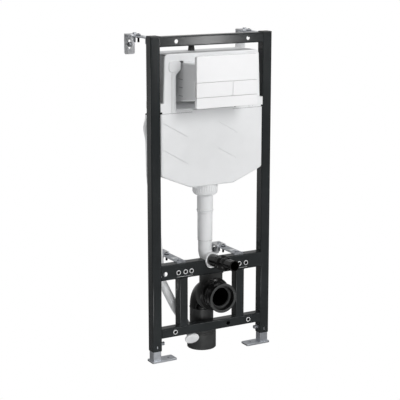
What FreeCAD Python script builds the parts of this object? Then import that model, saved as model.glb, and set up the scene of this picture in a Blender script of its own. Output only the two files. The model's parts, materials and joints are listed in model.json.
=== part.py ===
import FreeCAD
import Part
import math
import os

# Wall hung toilet frame with concealed cistern.
# Millimetres, +Z up, the front of the frame faces -Y, the wall lies behind it at +Y.
# The pieces are laid out with the frame's front face at Y 0 and the floor at Z 0,
# and are moved at the end so that the origin lies under the middle of the whole part.

Vec = FreeCAD.Vector

# Frame tubes and bars
FRAME_WIDTH = 500.0
UPRIGHT_LENGTH = 1150.0
TUBE_SIDE = 38.0
TUBE_WALL = 2.0
TUBE_CORNER = 4.0
BAR_DEPTH = 36.0
BAR_WALL = 2.5
BAR_BEND = 4.0
TOP_BAR_HEIGHT = 36.0
MIDDLE_BAR_HEIGHT = 57.0
MIDDLE_BAR_RISE = 266.0
LOWER_BAR_HEIGHT = 36.0
LOWER_BAR_RISE = 46.5
POST_SIDE = 36.0
POST_OFFSET = 121.0
CAP_CROWN = 3.0
CAP_PLUG_DEPTH = 15.0
CAP_CLEARANCE = 0.25

# Holes and threaded inserts in the bars
TOP_HOLE_INSET = 64.0
TOP_HOLE_RADIUS = 7.5
SIDE_HOLE_INSET = 16.0
SIDE_HOLE_RADIUS = 8.5
LOWER_HOLE_OFFSET = 69.5
LOWER_HOLE_RADIUS = 8.0
BOWL_STUDS = (90.0, 115.0, 144.0)
BOWL_STUD_RISE = 24.5
LOWER_STUD_INSET = 54.5
INSERT_RADIUS = 7.4
INSERT_FLANGE_RADIUS = 9.0
INSERT_FLANGE = 1.2
INSERT_BORE = 5.25
INSERT_LENGTH = 18.0
INSERT_CLEARANCE = 0.2
PAD_MARGIN = 15.0
PAD_HEIGHT = 34.0
PAD_THICKNESS = 1.5
STRIP_THICKNESS = 4.0

# Telescopic legs
LEG_SHOW = 35.5
LEG_CLEARANCE = 0.5
LEG_WALL = 2.0
LEG_INSIDE = 260.0
PLATE_THICKNESS = 6.5
PLATE_LENGTH = 101.5
PLATE_WIDTH = 48.0
PLATE_OVERHANG = 3.5
PLATE_CORNER = 6.0
PLATE_HOLE_RADIUS = 5.5
PLATE_HOLE_INSET = 26.0
CLAMP_RISE = 22.0
CLAMP_SHANK_RADIUS = 4.0
CLAMP_REACH = 17.0
CLAMP_NUT_RADIUS = 8.0
CLAMP_NUT_LENGTH = 7.0
CLAMP_HEAD_RADIUS = 7.5
CLAMP_HEAD_LENGTH = 5.0
CLAMP_TIP_GAP = 0.3
SIGHT_SLOT_WIDTH = 6.0
SIGHT_SLOT_HEIGHT = 11.0
SIGHT_SLOT_RISE = 16.0

# Wall brackets and their straps
WALL_FACE = 200.0
BRACKET_THICKNESS = 4.0
BRACKET_WIDTH = 41.0
BRACKET_CORNER = 7.0
TOP_BRACKET_SIDE = 3.0
TOP_BRACKET_DROP = 75.0
MIDDLE_BRACKET_SIDE = 2.0
MIDDLE_BRACKET_DROP = 49.0
BRACKET_FLANGE = 55.0
BRACKET_SLOT_WIDTH = 10.0
BRACKET_SLOT_LENGTH = 34.0
MIDDLE_SLOT_LENGTH = 24.0
STRAP_THICKNESS = 3.5
STRAP_WIDTH = 37.0
STRAP_END_GAP = 6.0
STRAP_TAB = 22.0
STRAP_WINDOW_WIDTH = 20.0
STRAP_WINDOW_DEPTH = 14.0
STRAP_WINDOW_BACK = 70.0
STRAP_FRONT = 14.0
STRAP_BOLT_RADIUS = 4.0
STRAP_BOLT_LENGTH = 30.0
STRAP_BOLT_HEAD = 7.5
STRAP_BOLT_HEAD_HEIGHT = 5.5

# Cistern
CISTERN_DEPTH = 118.0
CISTERN_WALL = 4.0
CISTERN_EDGE = 7.0
CISTERN_TOP_GAP = 25.0
CISTERN_HEIGHT = 487.0
CISTERN_FLAT_INSET = 122.0
CISTERN_HAUNCH = 50.0
CISTERN_SEAM_DROP = 211.0
CISTERN_SHOULDER_DROP = 174.0
CISTERN_SIDE_GAP = 11.0
CISTERN_WING = 42.0
CISTERN_TOP_CORNER = 18.0
CISTERN_TAPER = 6.0
SEAM_NOTCH = 7.0
RECESS_INSET = 59.5
RECESS_DEPTH = 62.0
RECESS_FLOOR = 6.0
RECESS_SLOPE = 24.0
RECESS_TOP_MARGIN = 26.0
LUG_WIDTH = 47.0
LUG_INSET = 33.0
LUG_TOP_DROP = 24.0
LUG_HEIGHT = 40.0
LUG_PROUD = 2.5
GROOVE_DEPTH = 2.2
GROOVE_WIDTH = 3.0
GROOVE_ANGLE = 30.0
# Each groove: its start and end, as shares of the cistern's half width, and its end's drop below the seam
GROOVES = ((-0.98, -0.495, 89.0), (-0.98, -0.495, 186.0), (0.104, 0.486, 89.0), (0.104, 0.462, 183.0))

# Service shaft, flush plate and buttons
SHAFT_INSET = 90.0
SHAFT_TOP_DROP = 31.0
SHAFT_FRONT_RISE = 15.0
SHAFT_BACK_DROP = 5.0
SHAFT_WALL = 3.0
FLUSH_PLATE_FRONT = -105.0
FLUSH_PLATE_THICKNESS = 14.0
FLUSH_PLATE_OVERLAP = 3.0
FLUSH_PLATE_HEIGHT = 183.0
FLUSH_PLATE_DROP = 3.0
FLUSH_PLATE_EDGE = 3.0
BAND_DROP = 91.0
BAND_HEIGHT = 54.0
BAND_DEPTH = 10.0
BUTTON_SPLIT = 22.0
BUTTON_GAP = 1.2
BUTTON_END_INSET = 0.6
BUTTON_THICKNESS = 5.0
BUTTON_PIN_RADIUS = 3.0
BUTTON_PIN_CLEARANCE = 0.3
BUTTON_PIN_INSET = 22.0
BUTTON_PIN_EXTRA = 3.0

# Water inlet on top of the cistern
INLET_X = -44.0
INLET_Y = 80.0
INLET_RADIUS = 10.5
INLET_HEIGHT = 32.0
INLET_NUT_RADIUS = 13.5
INLET_NUT_HEIGHT = 7.0

# Flush pipe, elbow and connector
PIPE_Y = 56.5
PIPE_RADIUS = 27.9
PIPE_WALL = 2.2
PIPE_NUT_RADIUS = 46.5
PIPE_NUT_HEIGHT = 42.0
PIPE_NUT_GRIPS = 30
PIPE_NUT_GRIP = 1.6
PIPE_NUT_GRIP_DEPTH = 1.0
PIPE_SLEEVE_RADIUS = 29.4
PIPE_SLEEVE_END = 111.0
PIPE_END_RISE = 66.5
PIPE_BEAD_DROP = 102.0
PIPE_BEAD = 2.4
ELBOW_SPIGOT = 14.0
ELBOW_WALL = 2.5
ELBOW_BEND = 33.0
ELBOW_TILT = 5.0
ELBOW_AXIS_DROP = 3.5
ELBOW_MOUTH_Y = -1.5
FIT_CLEARANCE = 0.2
MOUTH_RADIUS = 28.5
MOUTH_LENGTH = 20.0
CONNECTOR_RADIUS = 23.0
CONNECTOR_WALL = 3.0
CONNECTOR_INSERT = 16.0
CONNECTOR_LENGTH = 160.0
CONNECTOR_END_RADIUS = 19.5
CONNECTOR_COLLAR_RADIUS = 26.5
NOTCH_CLEARANCE = 2.5

# Waste socket, elbow, holder and the adapter below
WASTE_Y = 82.0
WASTE_DROP = 74.0
WASTE_RADIUS = 45.0
WASTE_WALL = 3.5
WASTE_BEND = 68.0
WASTE_NECK = 6.0
WASTE_WELD = 1.5
SOCKET_FRONT = -80.0
SOCKET_DEPTH = 40.0
SOCKET_RADIUS = 53.5
SOCKET_BORE = 45.2
SOCKET_BEAD = 2.0
SOCKET_LENGTH = 84.0
SOCKET_NECK = 49.0
COLLAR_RADIUS = 61.0
COLLAR_DROP = 60.0
COLLAR_RIM = 7.0
ADAPTER_RADIUS = 55.0
ADAPTER_WALL = 3.6
ADAPTER_FOOT = 3.0
ADAPTER_GAP = 5.5
ADAPTER_STEP = 12.0
ADAPTER_GROOVE = 1.2
ADAPTER_RIB_DROP = 14.0
HOLDER_HALF = 48.5
HOLDER_RING_RADIUS = 64.0
HOLDER_THICKNESS = 5.0
HOLDER_CLEARANCE = 0.5

# Empty conduit pipe behind the left upright
CONDUIT_RADIUS = 16.0
CONDUIT_WALL = 2.0
CONDUIT_SIDE_GAP = 4.0
CONDUIT_Y = 68.0
CONDUIT_TOP_DROP = 8.0
# Corners of the conduit's line: the upper ones counted from its top, the lower ones from its capped end
CONDUIT_UPPER = ((0.0, 0.0, -16.0), (-10.0, 0.0, -46.0), (-1.0, 0.0, -92.0), (2.0, 0.0, -222.0))
CONDUIT_LOWER = ((-103.0, 50.0, 230.0), (-47.0, 50.0, 120.0))
CONDUIT_TURN = 40.0
CONDUIT_BEND = 40.0
CONDUIT_END = (-72.7, 24.2, 58.4)
CONDUIT_FACE = (-0.17, -0.80, -0.57)
CONDUIT_CAP_RADIUS = 26.5
CONDUIT_CAP_THICKNESS = 7.0
CONDUIT_PLUG = 10.0
CONDUIT_SPIGOT_RADIUS = 11.5
CONDUIT_SPIGOT_RISE = 5.0
CONDUIT_KNOB = 27.0
CONDUIT_STUB_RADIUS = 8.0
CONDUIT_STUB_DROP = 14.0

# Places that follow from the sizes above
HALF = FRAME_WIDTH / 2
INNER = HALF - TUBE_SIDE
TUBE_X = HALF - TUBE_SIDE / 2
TUBE_Y = TUBE_SIDE / 2
TUBE_BOTTOM = PLATE_THICKNESS + LEG_SHOW
TUBE_TOP = TUBE_BOTTOM + UPRIGHT_LENGTH
MIDDLE_BOTTOM = TUBE_BOTTOM + MIDDLE_BAR_RISE
MIDDLE_TOP = MIDDLE_BOTTOM + MIDDLE_BAR_HEIGHT
LOWER_BOTTOM = TUBE_BOTTOM + LOWER_BAR_RISE
LOWER_TOP = LOWER_BOTTOM + LOWER_BAR_HEIGHT
TOP_BOTTOM = TUBE_TOP - TOP_BAR_HEIGHT
BOWL_STUD_Z = MIDDLE_BOTTOM + BOWL_STUD_RISE
LOWER_STUD_Z = LOWER_BOTTOM + LOWER_BAR_HEIGHT / 2
LEG_SIDE = TUBE_SIDE - 2 * TUBE_WALL - 2 * LEG_CLEARANCE
FLUSH_PLATE_BACK = FLUSH_PLATE_FRONT + FLUSH_PLATE_THICKNESS
TOP_HOLE_OFFSET = INNER - TOP_HOLE_INSET
SIDE_HOLE_OFFSET = INNER - SIDE_HOLE_INSET
LOWER_STUD_OFFSET = INNER - LOWER_STUD_INSET
TOP_BRACKET_OFFSET = TUBE_X + TOP_BRACKET_SIDE
MIDDLE_BRACKET_OFFSET = POST_OFFSET + MIDDLE_BRACKET_SIDE
CISTERN_TOP = TOP_BOTTOM - CISTERN_TOP_GAP
CISTERN_SHOULDER = CISTERN_TOP - CISTERN_SHOULDER_DROP
CISTERN_SEAM = CISTERN_TOP - CISTERN_SEAM_DROP
CISTERN_BOTTOM = CISTERN_TOP - CISTERN_HEIGHT
CISTERN_HEAD = INNER - CISTERN_SIDE_GAP
CISTERN_FLAT_HALF = INNER - CISTERN_FLAT_INSET
RECESS_HALF = INNER - RECESS_INSET
LUG_OUTER = INNER - LUG_INSET
SHAFT_HALF = INNER - SHAFT_INSET
SHAFT_TOP = CISTERN_TOP - SHAFT_TOP_DROP
SHAFT_BOTTOM_FRONT = CISTERN_SHOULDER + SHAFT_FRONT_RISE
SHAFT_BOTTOM_BACK = CISTERN_SHOULDER - SHAFT_BACK_DROP
FLUSH_PLATE_WIDTH = 2 * (SHAFT_HALF + FLUSH_PLATE_OVERLAP)
FLUSH_PLATE_TOP = CISTERN_TOP - FLUSH_PLATE_DROP
FLUSH_PLATE_BOTTOM = FLUSH_PLATE_TOP - FLUSH_PLATE_HEIGHT
BAND_TOP = FLUSH_PLATE_TOP - BAND_DROP
BAND_BOTTOM = BAND_TOP - BAND_HEIGHT
ELBOW_AXIS_Z = MIDDLE_TOP - ELBOW_AXIS_DROP
PIPE_END_Z = ELBOW_AXIS_Z + PIPE_END_RISE
WASTE_Z = MIDDLE_BOTTOM - WASTE_DROP
ADAPTER_TOP = LOWER_BOTTOM - ADAPTER_GAP
ADAPTER_LENGTH = ADAPTER_TOP - ADAPTER_FOOT
WASTE_END = WASTE_Z - WASTE_BEND - WASTE_NECK
HOLDER_Y = WASTE_Y - WASTE_BEND - HOLDER_THICKNESS - HOLDER_CLEARANCE
CONDUIT_X = -CISTERN_HEAD - CONDUIT_RADIUS - CONDUIT_SIDE_GAP
CONDUIT_TOP = CISTERN_SEAM - CONDUIT_TOP_DROP
CONDUIT_SPIGOT_TOP = CISTERN_SHOULDER + CONDUIT_SPIGOT_RISE

X_AXIS = Vec(1, 0, 0)
Y_AXIS = Vec(0, 1, 0)
Z_AXIS = Vec(0, 0, 1)


def block(x0, x1, y0, y1, z0, z1):
    """A plain box between two corners."""
    return Part.makeBox(x1 - x0, y1 - y0, z1 - z0, Vec(x0, y0, z0))


def along(shape, axis):
    """Edges of a shape that are straight and run along one axis."""
    found = []
    for edge in shape.Edges:
        if edge.Curve.TypeId != "Part::GeomLine":
            continue
        run = edge.Vertexes[-1].Point.sub(edge.Vertexes[0].Point)
        if abs(abs(run.normalize().dot(axis)) - 1) < 1e-6:
            found.append(edge)
    return found


def rounded(shape, axis, radius, keep=lambda point: True):
    """The shape with the edges along one axis rounded, where keep() accepts their middle."""
    edges = [edge for edge in along(shape, axis) if keep(edge.CenterOfMass)]
    return shape.makeFillet(radius, edges)


def cylinder(radius, base, axis, length):
    return Part.makeCylinder(radius, length, Vec(*base), axis)


def hexagon(across, base, axis, length):
    """A six-sided head whose corners lie on a circle of the given radius."""
    points = []
    for step in range(7):
        turn = math.radians(60 * step)
        points.append(Vec(across * math.cos(turn), across * math.sin(turn), 0))
    prism = Part.Face(Part.makePolygon(points)).extrude(Vec(0, 0, length))
    prism.Placement = FreeCAD.Placement(Vec(*base), FreeCAD.Rotation(Z_AXIS, axis))
    return prism


def turned(profile, base, axis):
    """A turned solid from (radius, height) pairs along an axis that starts at base."""
    points = [Vec(radius, 0, height) for radius, height in profile]
    points.append(points[0])
    solid = Part.Face(Part.makePolygon(points)).revolve(Vec(0, 0, 0), Z_AXIS, 360)
    solid.Placement = FreeCAD.Placement(Vec(*base), FreeCAD.Rotation(Z_AXIS, axis))
    return solid


def plate_xz(points, y0, y1):
    """A flat plate with an outline of (x, z) corners, between two depths."""
    corners = [Vec(x, y0, z) for x, z in points]
    corners.append(corners[0])
    return Part.Face(Part.makePolygon(corners)).extrude(Vec(0, y1 - y0, 0))


def plate_yz(points, x0, x1):
    """A flat plate with an outline of (y, z) corners, between two widths."""
    corners = [Vec(x0, y, z) for y, z in points]
    corners.append(corners[0])
    return Part.Face(Part.makePolygon(corners)).extrude(Vec(x1 - x0, 0, 0))


def bent(points, radius):
    """A wire of straight runs joined by round bends."""
    edges = []
    start = points[0]
    for before, corner, after in zip(points, points[1:], points[2:]):
        way_in = corner.sub(before).normalize()
        way_out = after.sub(corner).normalize()
        half_turn = way_in.getAngle(way_out) / 2
        tangent = radius * math.tan(half_turn)
        inwards = way_out.sub(way_in).normalize()
        first = corner.sub(way_in * tangent)
        last = corner.add(way_out * tangent)
        middle = corner.add(inwards * (radius / math.cos(half_turn) - radius))
        edges += [Part.makeLine(start, first), Part.Arc(first, middle, last).toShape()]
        start = last
    edges.append(Part.makeLine(start, points[-1]))
    return Part.Wire(edges)


def swept(path, radius):
    """A round bar along a wire."""
    edge = path.Edges[0]
    start = edge.valueAt(edge.FirstParameter)
    heading = edge.tangentAt(edge.FirstParameter)
    circle = Part.Wire(Part.makeCircle(radius, start, heading))
    return path.makePipeShell([circle], True, True)


def mirrored(shape):
    return shape.mirror(Vec(0, 0, 0), X_AXIS)


def square_tube(x, y, side, z0, z1, wall, corner):
    """An upright square tube with rounded corners."""
    half = side / 2
    outer = rounded(block(x - half, x + half, y - half, y + half, z0, z1), Z_AXIS, corner)
    half -= wall
    hole = rounded(block(x - half, x + half, y - half, y + half, z0, z1), Z_AXIS, corner - wall / 2)
    return outer.cut(hole)


def channel(x0, x1, z0, z1):
    """A folded bar with its web in front, open to the back."""
    outer = block(x0, x1, 0, BAR_DEPTH, z0, z1)
    outer = rounded(outer, X_AXIS, BAR_BEND, lambda point: point.y < BAR_WALL)
    hollow = block(x0, x1, BAR_WALL, BAR_DEPTH, z0 + BAR_WALL, z1 - BAR_WALL)
    hollow = rounded(hollow, X_AXIS, BAR_BEND - BAR_WALL, lambda point: point.y < BAR_WALL + 1)
    return outer.cut(hollow)


def upright():
    """Right upright: a square tube with a sight slot and a hole for the clamp bolt."""
    tube = square_tube(TUBE_X, TUBE_Y, TUBE_SIDE, TUBE_BOTTOM, TUBE_TOP, TUBE_WALL, TUBE_CORNER)
    slot_z = TUBE_BOTTOM + SIGHT_SLOT_RISE
    slot = block(TUBE_X - SIGHT_SLOT_WIDTH / 2, TUBE_X + SIGHT_SLOT_WIDTH / 2, -1, TUBE_WALL + 1,
                 slot_z - SIGHT_SLOT_HEIGHT / 2, slot_z + SIGHT_SLOT_HEIGHT / 2)
    slot = rounded(slot, Y_AXIS, SIGHT_SLOT_WIDTH / 2 - 0.1)
    bolt_hole = cylinder(CLAMP_SHANK_RADIUS + FIT_CLEARANCE, (INNER - 1, TUBE_Y, TUBE_BOTTOM + CLAMP_RISE),
                         X_AXIS, TUBE_WALL + 2)
    return tube.cut(slot).cut(bolt_hole)


def end_cap():
    """Right end cap: a crowned plastic head with a plug in the tube."""
    half = TUBE_SIDE / 2
    head = block(TUBE_X - half, TUBE_X + half, TUBE_Y - half, TUBE_Y + half, TUBE_TOP, TUBE_TOP + CAP_CROWN)
    head = rounded(head, Z_AXIS, TUBE_CORNER)
    top_edges = [edge for edge in head.Edges if edge.CenterOfMass.z > TUBE_TOP + CAP_CROWN - 0.01]
    head = head.makeFillet(CAP_CROWN * 0.6, top_edges)
    half -= TUBE_WALL + CAP_CLEARANCE
    plug = block(TUBE_X - half, TUBE_X + half, TUBE_Y - half, TUBE_Y + half,
                 TUBE_TOP - CAP_PLUG_DEPTH, TUBE_TOP)
    plug = rounded(plug, Z_AXIS, TUBE_CORNER - TUBE_WALL / 2)
    return head.fuse(plug).removeSplitter()


def top_bar():
    bar = channel(-INNER, INNER, TOP_BOTTOM, TUBE_TOP)
    hole_z = TOP_BOTTOM + TOP_BAR_HEIGHT / 2
    for x in (-TOP_HOLE_OFFSET, TOP_HOLE_OFFSET):
        bar = bar.cut(cylinder(TOP_HOLE_RADIUS, (x, -1, hole_z), Y_AXIS, BAR_WALL + 2))
    return bar


def middle_bar():
    """Deep folded bar that carries the bowl: raised pads for the studs and a saddle for the flush pipe."""
    bar = channel(-INNER, INNER, MIDDLE_BOTTOM, MIDDLE_TOP)
    pad_z = BOWL_STUD_Z - PAD_HEIGHT / 2
    pad = block(BOWL_STUDS[0] - PAD_MARGIN, BOWL_STUDS[-1] + PAD_MARGIN, -PAD_THICKNESS, 1,
                pad_z, pad_z + PAD_HEIGHT)
    pad = rounded(pad, Y_AXIS, PAD_MARGIN / 2)
    front = [edge for edge in pad.Edges if edge.CenterOfMass.y < 0.01 - PAD_THICKNESS]
    pad = pad.makeChamfer(PAD_THICKNESS * 0.6, front)
    bar = bar.fuse([pad, mirrored(pad)]).removeSplitter()
    for x in BOWL_STUDS:
        hole = cylinder(INSERT_RADIUS + INSERT_CLEARANCE, (x, -PAD_THICKNESS - 1, BOWL_STUD_Z),
                        Y_AXIS, PAD_THICKNESS + BAR_WALL + 2)
        bar = bar.cut([hole, mirrored(hole)])
    bar = bar.cut(cylinder(SIDE_HOLE_RADIUS, (-SIDE_HOLE_OFFSET, -1, BOWL_STUD_Z), Y_AXIS, BAR_WALL + 2))
    saddle = MOUTH_RADIUS + NOTCH_CLEARANCE
    notch = cylinder(saddle, (0, -1, ELBOW_AXIS_Z), Y_AXIS, BAR_DEPTH + 2)
    notch = notch.fuse(block(-saddle, saddle, -1, BAR_DEPTH + 1, ELBOW_AXIS_Z, MIDDLE_TOP + 1))
    return bar.cut(notch).removeSplitter()


def lower_bar():
    """Square tube between the uprights, with two thread inserts and one plain hole in front."""
    outer = block(-INNER, INNER, 0, BAR_DEPTH, LOWER_BOTTOM, LOWER_TOP)
    outer = rounded(outer, X_AXIS, BAR_BEND)
    hollow = block(-INNER, INNER, BAR_WALL, BAR_DEPTH - BAR_WALL,
                   LOWER_BOTTOM + BAR_WALL, LOWER_TOP - BAR_WALL)
    bar = outer.cut(rounded(hollow, X_AXIS, BAR_BEND - BAR_WALL))
    for x in (-LOWER_STUD_OFFSET, LOWER_STUD_OFFSET):
        bar = bar.cut(cylinder(INSERT_RADIUS + INSERT_CLEARANCE, (x, -1, LOWER_STUD_Z), Y_AXIS, BAR_WALL + 2))
    return bar.cut(cylinder(LOWER_HOLE_RADIUS, (LOWER_HOLE_OFFSET, -1, LOWER_STUD_Z), Y_AXIS, BAR_WALL + 2))


def short_post():
    """Right short post between the lower and the middle bar."""
    return square_tube(POST_OFFSET, POST_SIDE / 2, POST_SIDE, LOWER_TOP, MIDDLE_BOTTOM,
                       TUBE_WALL, TUBE_CORNER)


def insert_profile(length):
    """Half section of a flanged thread insert, height counted inwards from the face it sits on."""
    return [(INSERT_BORE, -INSERT_FLANGE), (INSERT_FLANGE_RADIUS - 0.5, -INSERT_FLANGE),
            (INSERT_FLANGE_RADIUS, 0.5 - INSERT_FLANGE), (INSERT_FLANGE_RADIUS, 0),
            (INSERT_RADIUS, 0), (INSERT_RADIUS, length), (INSERT_BORE, length)]


def bowl_nuts():
    """Right set of bowl stud nuts: three flanged inserts joined by a strip inside the bar."""
    back = BAR_WALL + STRIP_THICKNESS
    low = BOWL_STUD_Z - INSERT_FLANGE_RADIUS - 2
    high = BOWL_STUD_Z + INSERT_FLANGE_RADIUS + 2
    strip = block(BOWL_STUDS[0] - PAD_MARGIN, BOWL_STUDS[-1] + PAD_MARGIN, BAR_WALL, back, low, high)
    strip = rounded(strip, Y_AXIS, PAD_MARGIN / 3)
    profile = insert_profile(INSERT_LENGTH)
    nuts = [turned(profile, (x, -PAD_THICKNESS, BOWL_STUD_Z), Y_AXIS) for x in BOWL_STUDS]
    joined = strip.fuse(nuts)
    bores = [cylinder(INSERT_BORE, (x, -PAD_THICKNESS - 5, BOWL_STUD_Z), Y_AXIS, INSERT_LENGTH + 10)
             for x in BOWL_STUDS]
    return joined.cut(bores).removeSplitter()


def lower_nut():
    return turned(insert_profile(INSERT_LENGTH), (LOWER_STUD_OFFSET, 0, LOWER_STUD_Z), Y_AXIS)


def leg():
    """Right leg: a square tube that slides in the upright."""
    return square_tube(TUBE_X, TUBE_Y, LEG_SIDE, PLATE_THICKNESS, TUBE_BOTTOM + LEG_INSIDE, LEG_WALL,
                       TUBE_CORNER - TUBE_WALL / 2 - LEG_CLEARANCE)


def foot_plate():
    """Right foot plate, reaching inwards from under the leg, with a floor bolt hole."""
    x1 = HALF + PLATE_OVERHANG
    x0 = x1 - PLATE_LENGTH
    y0 = TUBE_Y - PLATE_WIDTH / 2
    plate = rounded(block(x0, x1, y0, y0 + PLATE_WIDTH, 0, PLATE_THICKNESS), Z_AXIS, PLATE_CORNER)
    top = [edge for edge in plate.Edges if edge.CenterOfMass.z > PLATE_THICKNESS - 0.01]
    plate = plate.makeChamfer(1.0, top)
    hole = cylinder(PLATE_HOLE_RADIUS, (x0 + PLATE_HOLE_INSET, TUBE_Y, -1), Z_AXIS, PLATE_THICKNESS + 2)
    return plate.cut(hole)


def leg_bolt():
    """Right clamp bolt: a nut on the upright's inner face and a bolt that presses on the leg."""
    z = TUBE_BOTTOM + CLAMP_RISE
    tip = INNER + TUBE_WALL + LEG_CLEARANCE - CLAMP_TIP_GAP
    head = hexagon(CLAMP_HEAD_RADIUS, (INNER - CLAMP_REACH, TUBE_Y, z), X_AXIS, CLAMP_HEAD_LENGTH)
    start = INNER - CLAMP_REACH + 1
    shank = cylinder(CLAMP_SHANK_RADIUS, (start, TUBE_Y, z), X_AXIS, tip - start)
    nut = hexagon(CLAMP_NUT_RADIUS, (INNER - CLAMP_NUT_LENGTH, TUBE_Y, z), X_AXIS, CLAMP_NUT_LENGTH)
    return head.fuse([shank, nut]).removeSplitter()


def wall_bracket(x, bolt_x, top, drop, slot_length):
    """Angle bracket: a slotted plate against the wall and a flange that lies on the strap."""
    half = BRACKET_WIDTH / 2
    plate = block(x - half, x + half, WALL_FACE - BRACKET_THICKNESS, WALL_FACE, top - drop, top)
    plate = rounded(plate, Y_AXIS, BRACKET_CORNER, lambda point: point.z < top - drop / 2)
    flange = block(x - half, x + half, WALL_FACE - BRACKET_FLANGE, WALL_FACE, top - BRACKET_THICKNESS, top)
    flange = rounded(flange, Z_AXIS, BRACKET_CORNER / 2,
                     lambda point: point.y < WALL_FACE - BRACKET_THICKNESS)
    angle = plate.fuse(flange).removeSplitter()
    fold = [edge for edge in along(angle, X_AXIS)
            if edge.CenterOfMass.y > WALL_FACE - 0.01 and edge.CenterOfMass.z > top - 0.01]
    angle = angle.makeFillet(BRACKET_THICKNESS * 0.8, fold)
    middle = top - BRACKET_THICKNESS - (drop - BRACKET_THICKNESS) / 2
    slot = block(x - BRACKET_SLOT_WIDTH / 2, x + BRACKET_SLOT_WIDTH / 2, WALL_FACE - BRACKET_THICKNESS - 1,
                 WALL_FACE + 1, middle - slot_length / 2, middle + slot_length / 2)
    slot = rounded(slot, Y_AXIS, BRACKET_SLOT_WIDTH / 2 - 0.1)
    return angle.cut(slot).cut(strap_bolt_hole(bolt_x, top + 1))


def strap_bolt_y():
    return WALL_FACE - BRACKET_FLANGE + STRAP_END_GAP + STRAP_BOLT_HEAD + 4


def strap_bolt_hole(x, top):
    radius = STRAP_BOLT_RADIUS + FIT_CLEARANCE
    return cylinder(radius, (x, strap_bolt_y(), top), Vec(0, 0, -1), STRAP_BOLT_LENGTH)


def strap(x, top, front, tab_down):
    """Flat strap from the frame to a wall bracket, folded at its front end, with a window and a bolt."""
    half = STRAP_WIDTH / 2
    back = WALL_FACE - BRACKET_THICKNESS - STRAP_END_GAP
    bottom = top - STRAP_THICKNESS
    bar = block(x - half, x + half, front, back, bottom, top)
    bar = rounded(bar, Z_AXIS, BRACKET_CORNER / 2, lambda point: point.y > front + 1)
    if tab_down:
        tab = block(x - half, x + half, front, front + STRAP_THICKNESS, top - STRAP_TAB, top)
    else:
        tab = block(x - half, x + half, front, front + STRAP_THICKNESS, bottom, top + STRAP_THICKNESS)
    window = block(x - STRAP_WINDOW_WIDTH / 2, x + STRAP_WINDOW_WIDTH / 2,
                   STRAP_WINDOW_BACK - STRAP_WINDOW_DEPTH / 2, STRAP_WINDOW_BACK + STRAP_WINDOW_DEPTH / 2,
                   bottom - 1, top + 1)
    window = rounded(window, Z_AXIS, BRACKET_CORNER / 2)
    bar = bar.fuse(tab).removeSplitter().cut(window)
    head_z = top + BRACKET_THICKNESS
    head = hexagon(STRAP_BOLT_HEAD, (x, strap_bolt_y(), head_z), Z_AXIS, STRAP_BOLT_HEAD_HEIGHT)
    shank = cylinder(STRAP_BOLT_RADIUS, (x, strap_bolt_y(), head_z + 1), Vec(0, 0, -1), STRAP_BOLT_LENGTH + 1)
    nut = hexagon(STRAP_BOLT_HEAD, (x, strap_bolt_y(), bottom), Vec(0, 0, -1), STRAP_BOLT_HEAD_HEIGHT)
    return bar.fuse([head, shank, nut]).removeSplitter()


def groove(x0, z0, x1, z1):
    """A shallow straight moulded groove in the cistern's front, between two (x, z) points."""
    length = math.hypot(x1 - x0, z1 - z0)
    turn = math.degrees(math.atan2(z1 - z0, x1 - x0))
    cutter = block(0, length, -1, GROOVE_DEPTH, -GROOVE_WIDTH / 2, GROOVE_WIDTH / 2)
    cutter = rounded(cutter, Y_AXIS, GROOVE_WIDTH / 2 - 0.1)
    cutter.rotate(Vec(0, 0, 0), Vec(0, -1, 0), turn)
    cutter.translate(Vec(x0, 0, z0))
    return cutter


def shell_edges(shape, radius, z_low, z_high):
    """Rounds the front and back outline edges of a moulded shell, except at the seam."""
    edges = []
    for edge in shape.Edges:
        middle = edge.CenterOfMass
        flat = abs(middle.y) < 0.01 or abs(middle.y - CISTERN_DEPTH) < 0.01
        if flat and z_low < middle.z < z_high:
            edges.append(edge)
    return shape.makeFillet(radius, edges)


def wing_steps():
    """Cutters that step the cistern's sides in behind its front wings, clear of the uprights' backs."""
    step = block(CISTERN_HEAD, INNER + 1, CISTERN_WING, CISTERN_DEPTH + 1,
                 CISTERN_BOTTOM - 1, CISTERN_SHOULDER + 1)
    return [step, mirrored(step)]


def lower_outline(offset):
    """Lower cistern outline: straight sides, sloping haunches and a flat bottom."""
    bottom = CISTERN_BOTTOM + min(offset, CISTERN_WALL)
    side = INNER - offset
    haunch = bottom + CISTERN_HAUNCH * (side - CISTERN_FLAT_HALF) / (INNER - CISTERN_FLAT_HALF)
    flat = CISTERN_FLAT_HALF
    return [(-side, CISTERN_SEAM), (-side, haunch), (-flat, bottom), (flat, bottom), (side, haunch),
            (side, CISTERN_SEAM)]


def cistern_lower():
    """Lower half of the cistern: an open moulded tank with diagonal grooves in front."""
    outer = plate_xz(lower_outline(0), 0, CISTERN_DEPTH)
    outer = rounded(outer, Y_AXIS, CISTERN_EDGE * 2, lambda point: point.z < CISTERN_SEAM - 1)
    outer = shell_edges(outer, CISTERN_EDGE, 0, CISTERN_SEAM - 1)
    outer = outer.cut(wing_steps())
    hollow = plate_xz(lower_outline(CISTERN_WALL + CISTERN_SIDE_GAP),
                      CISTERN_WALL, CISTERN_DEPTH - CISTERN_WALL)
    hollow = rounded(hollow, Y_AXIS, CISTERN_EDGE, lambda point: point.z < CISTERN_SEAM - 1)
    tank = outer.cut(hollow)
    rise = math.tan(math.radians(GROOVE_ANGLE))
    cuts = []
    for start, stop, drop in GROOVES:
        z1 = CISTERN_SEAM - drop
        cuts.append(groove(start * INNER, z1 + (stop - start) * INNER * rise, stop * INNER, z1))
    tank = tank.cut(cuts)
    outlet = cylinder(PIPE_RADIUS - PIPE_WALL, (0, PIPE_Y, CISTERN_BOTTOM - 5), Z_AXIS, CISTERN_WALL + 10)
    return tank.cut(outlet)


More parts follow.
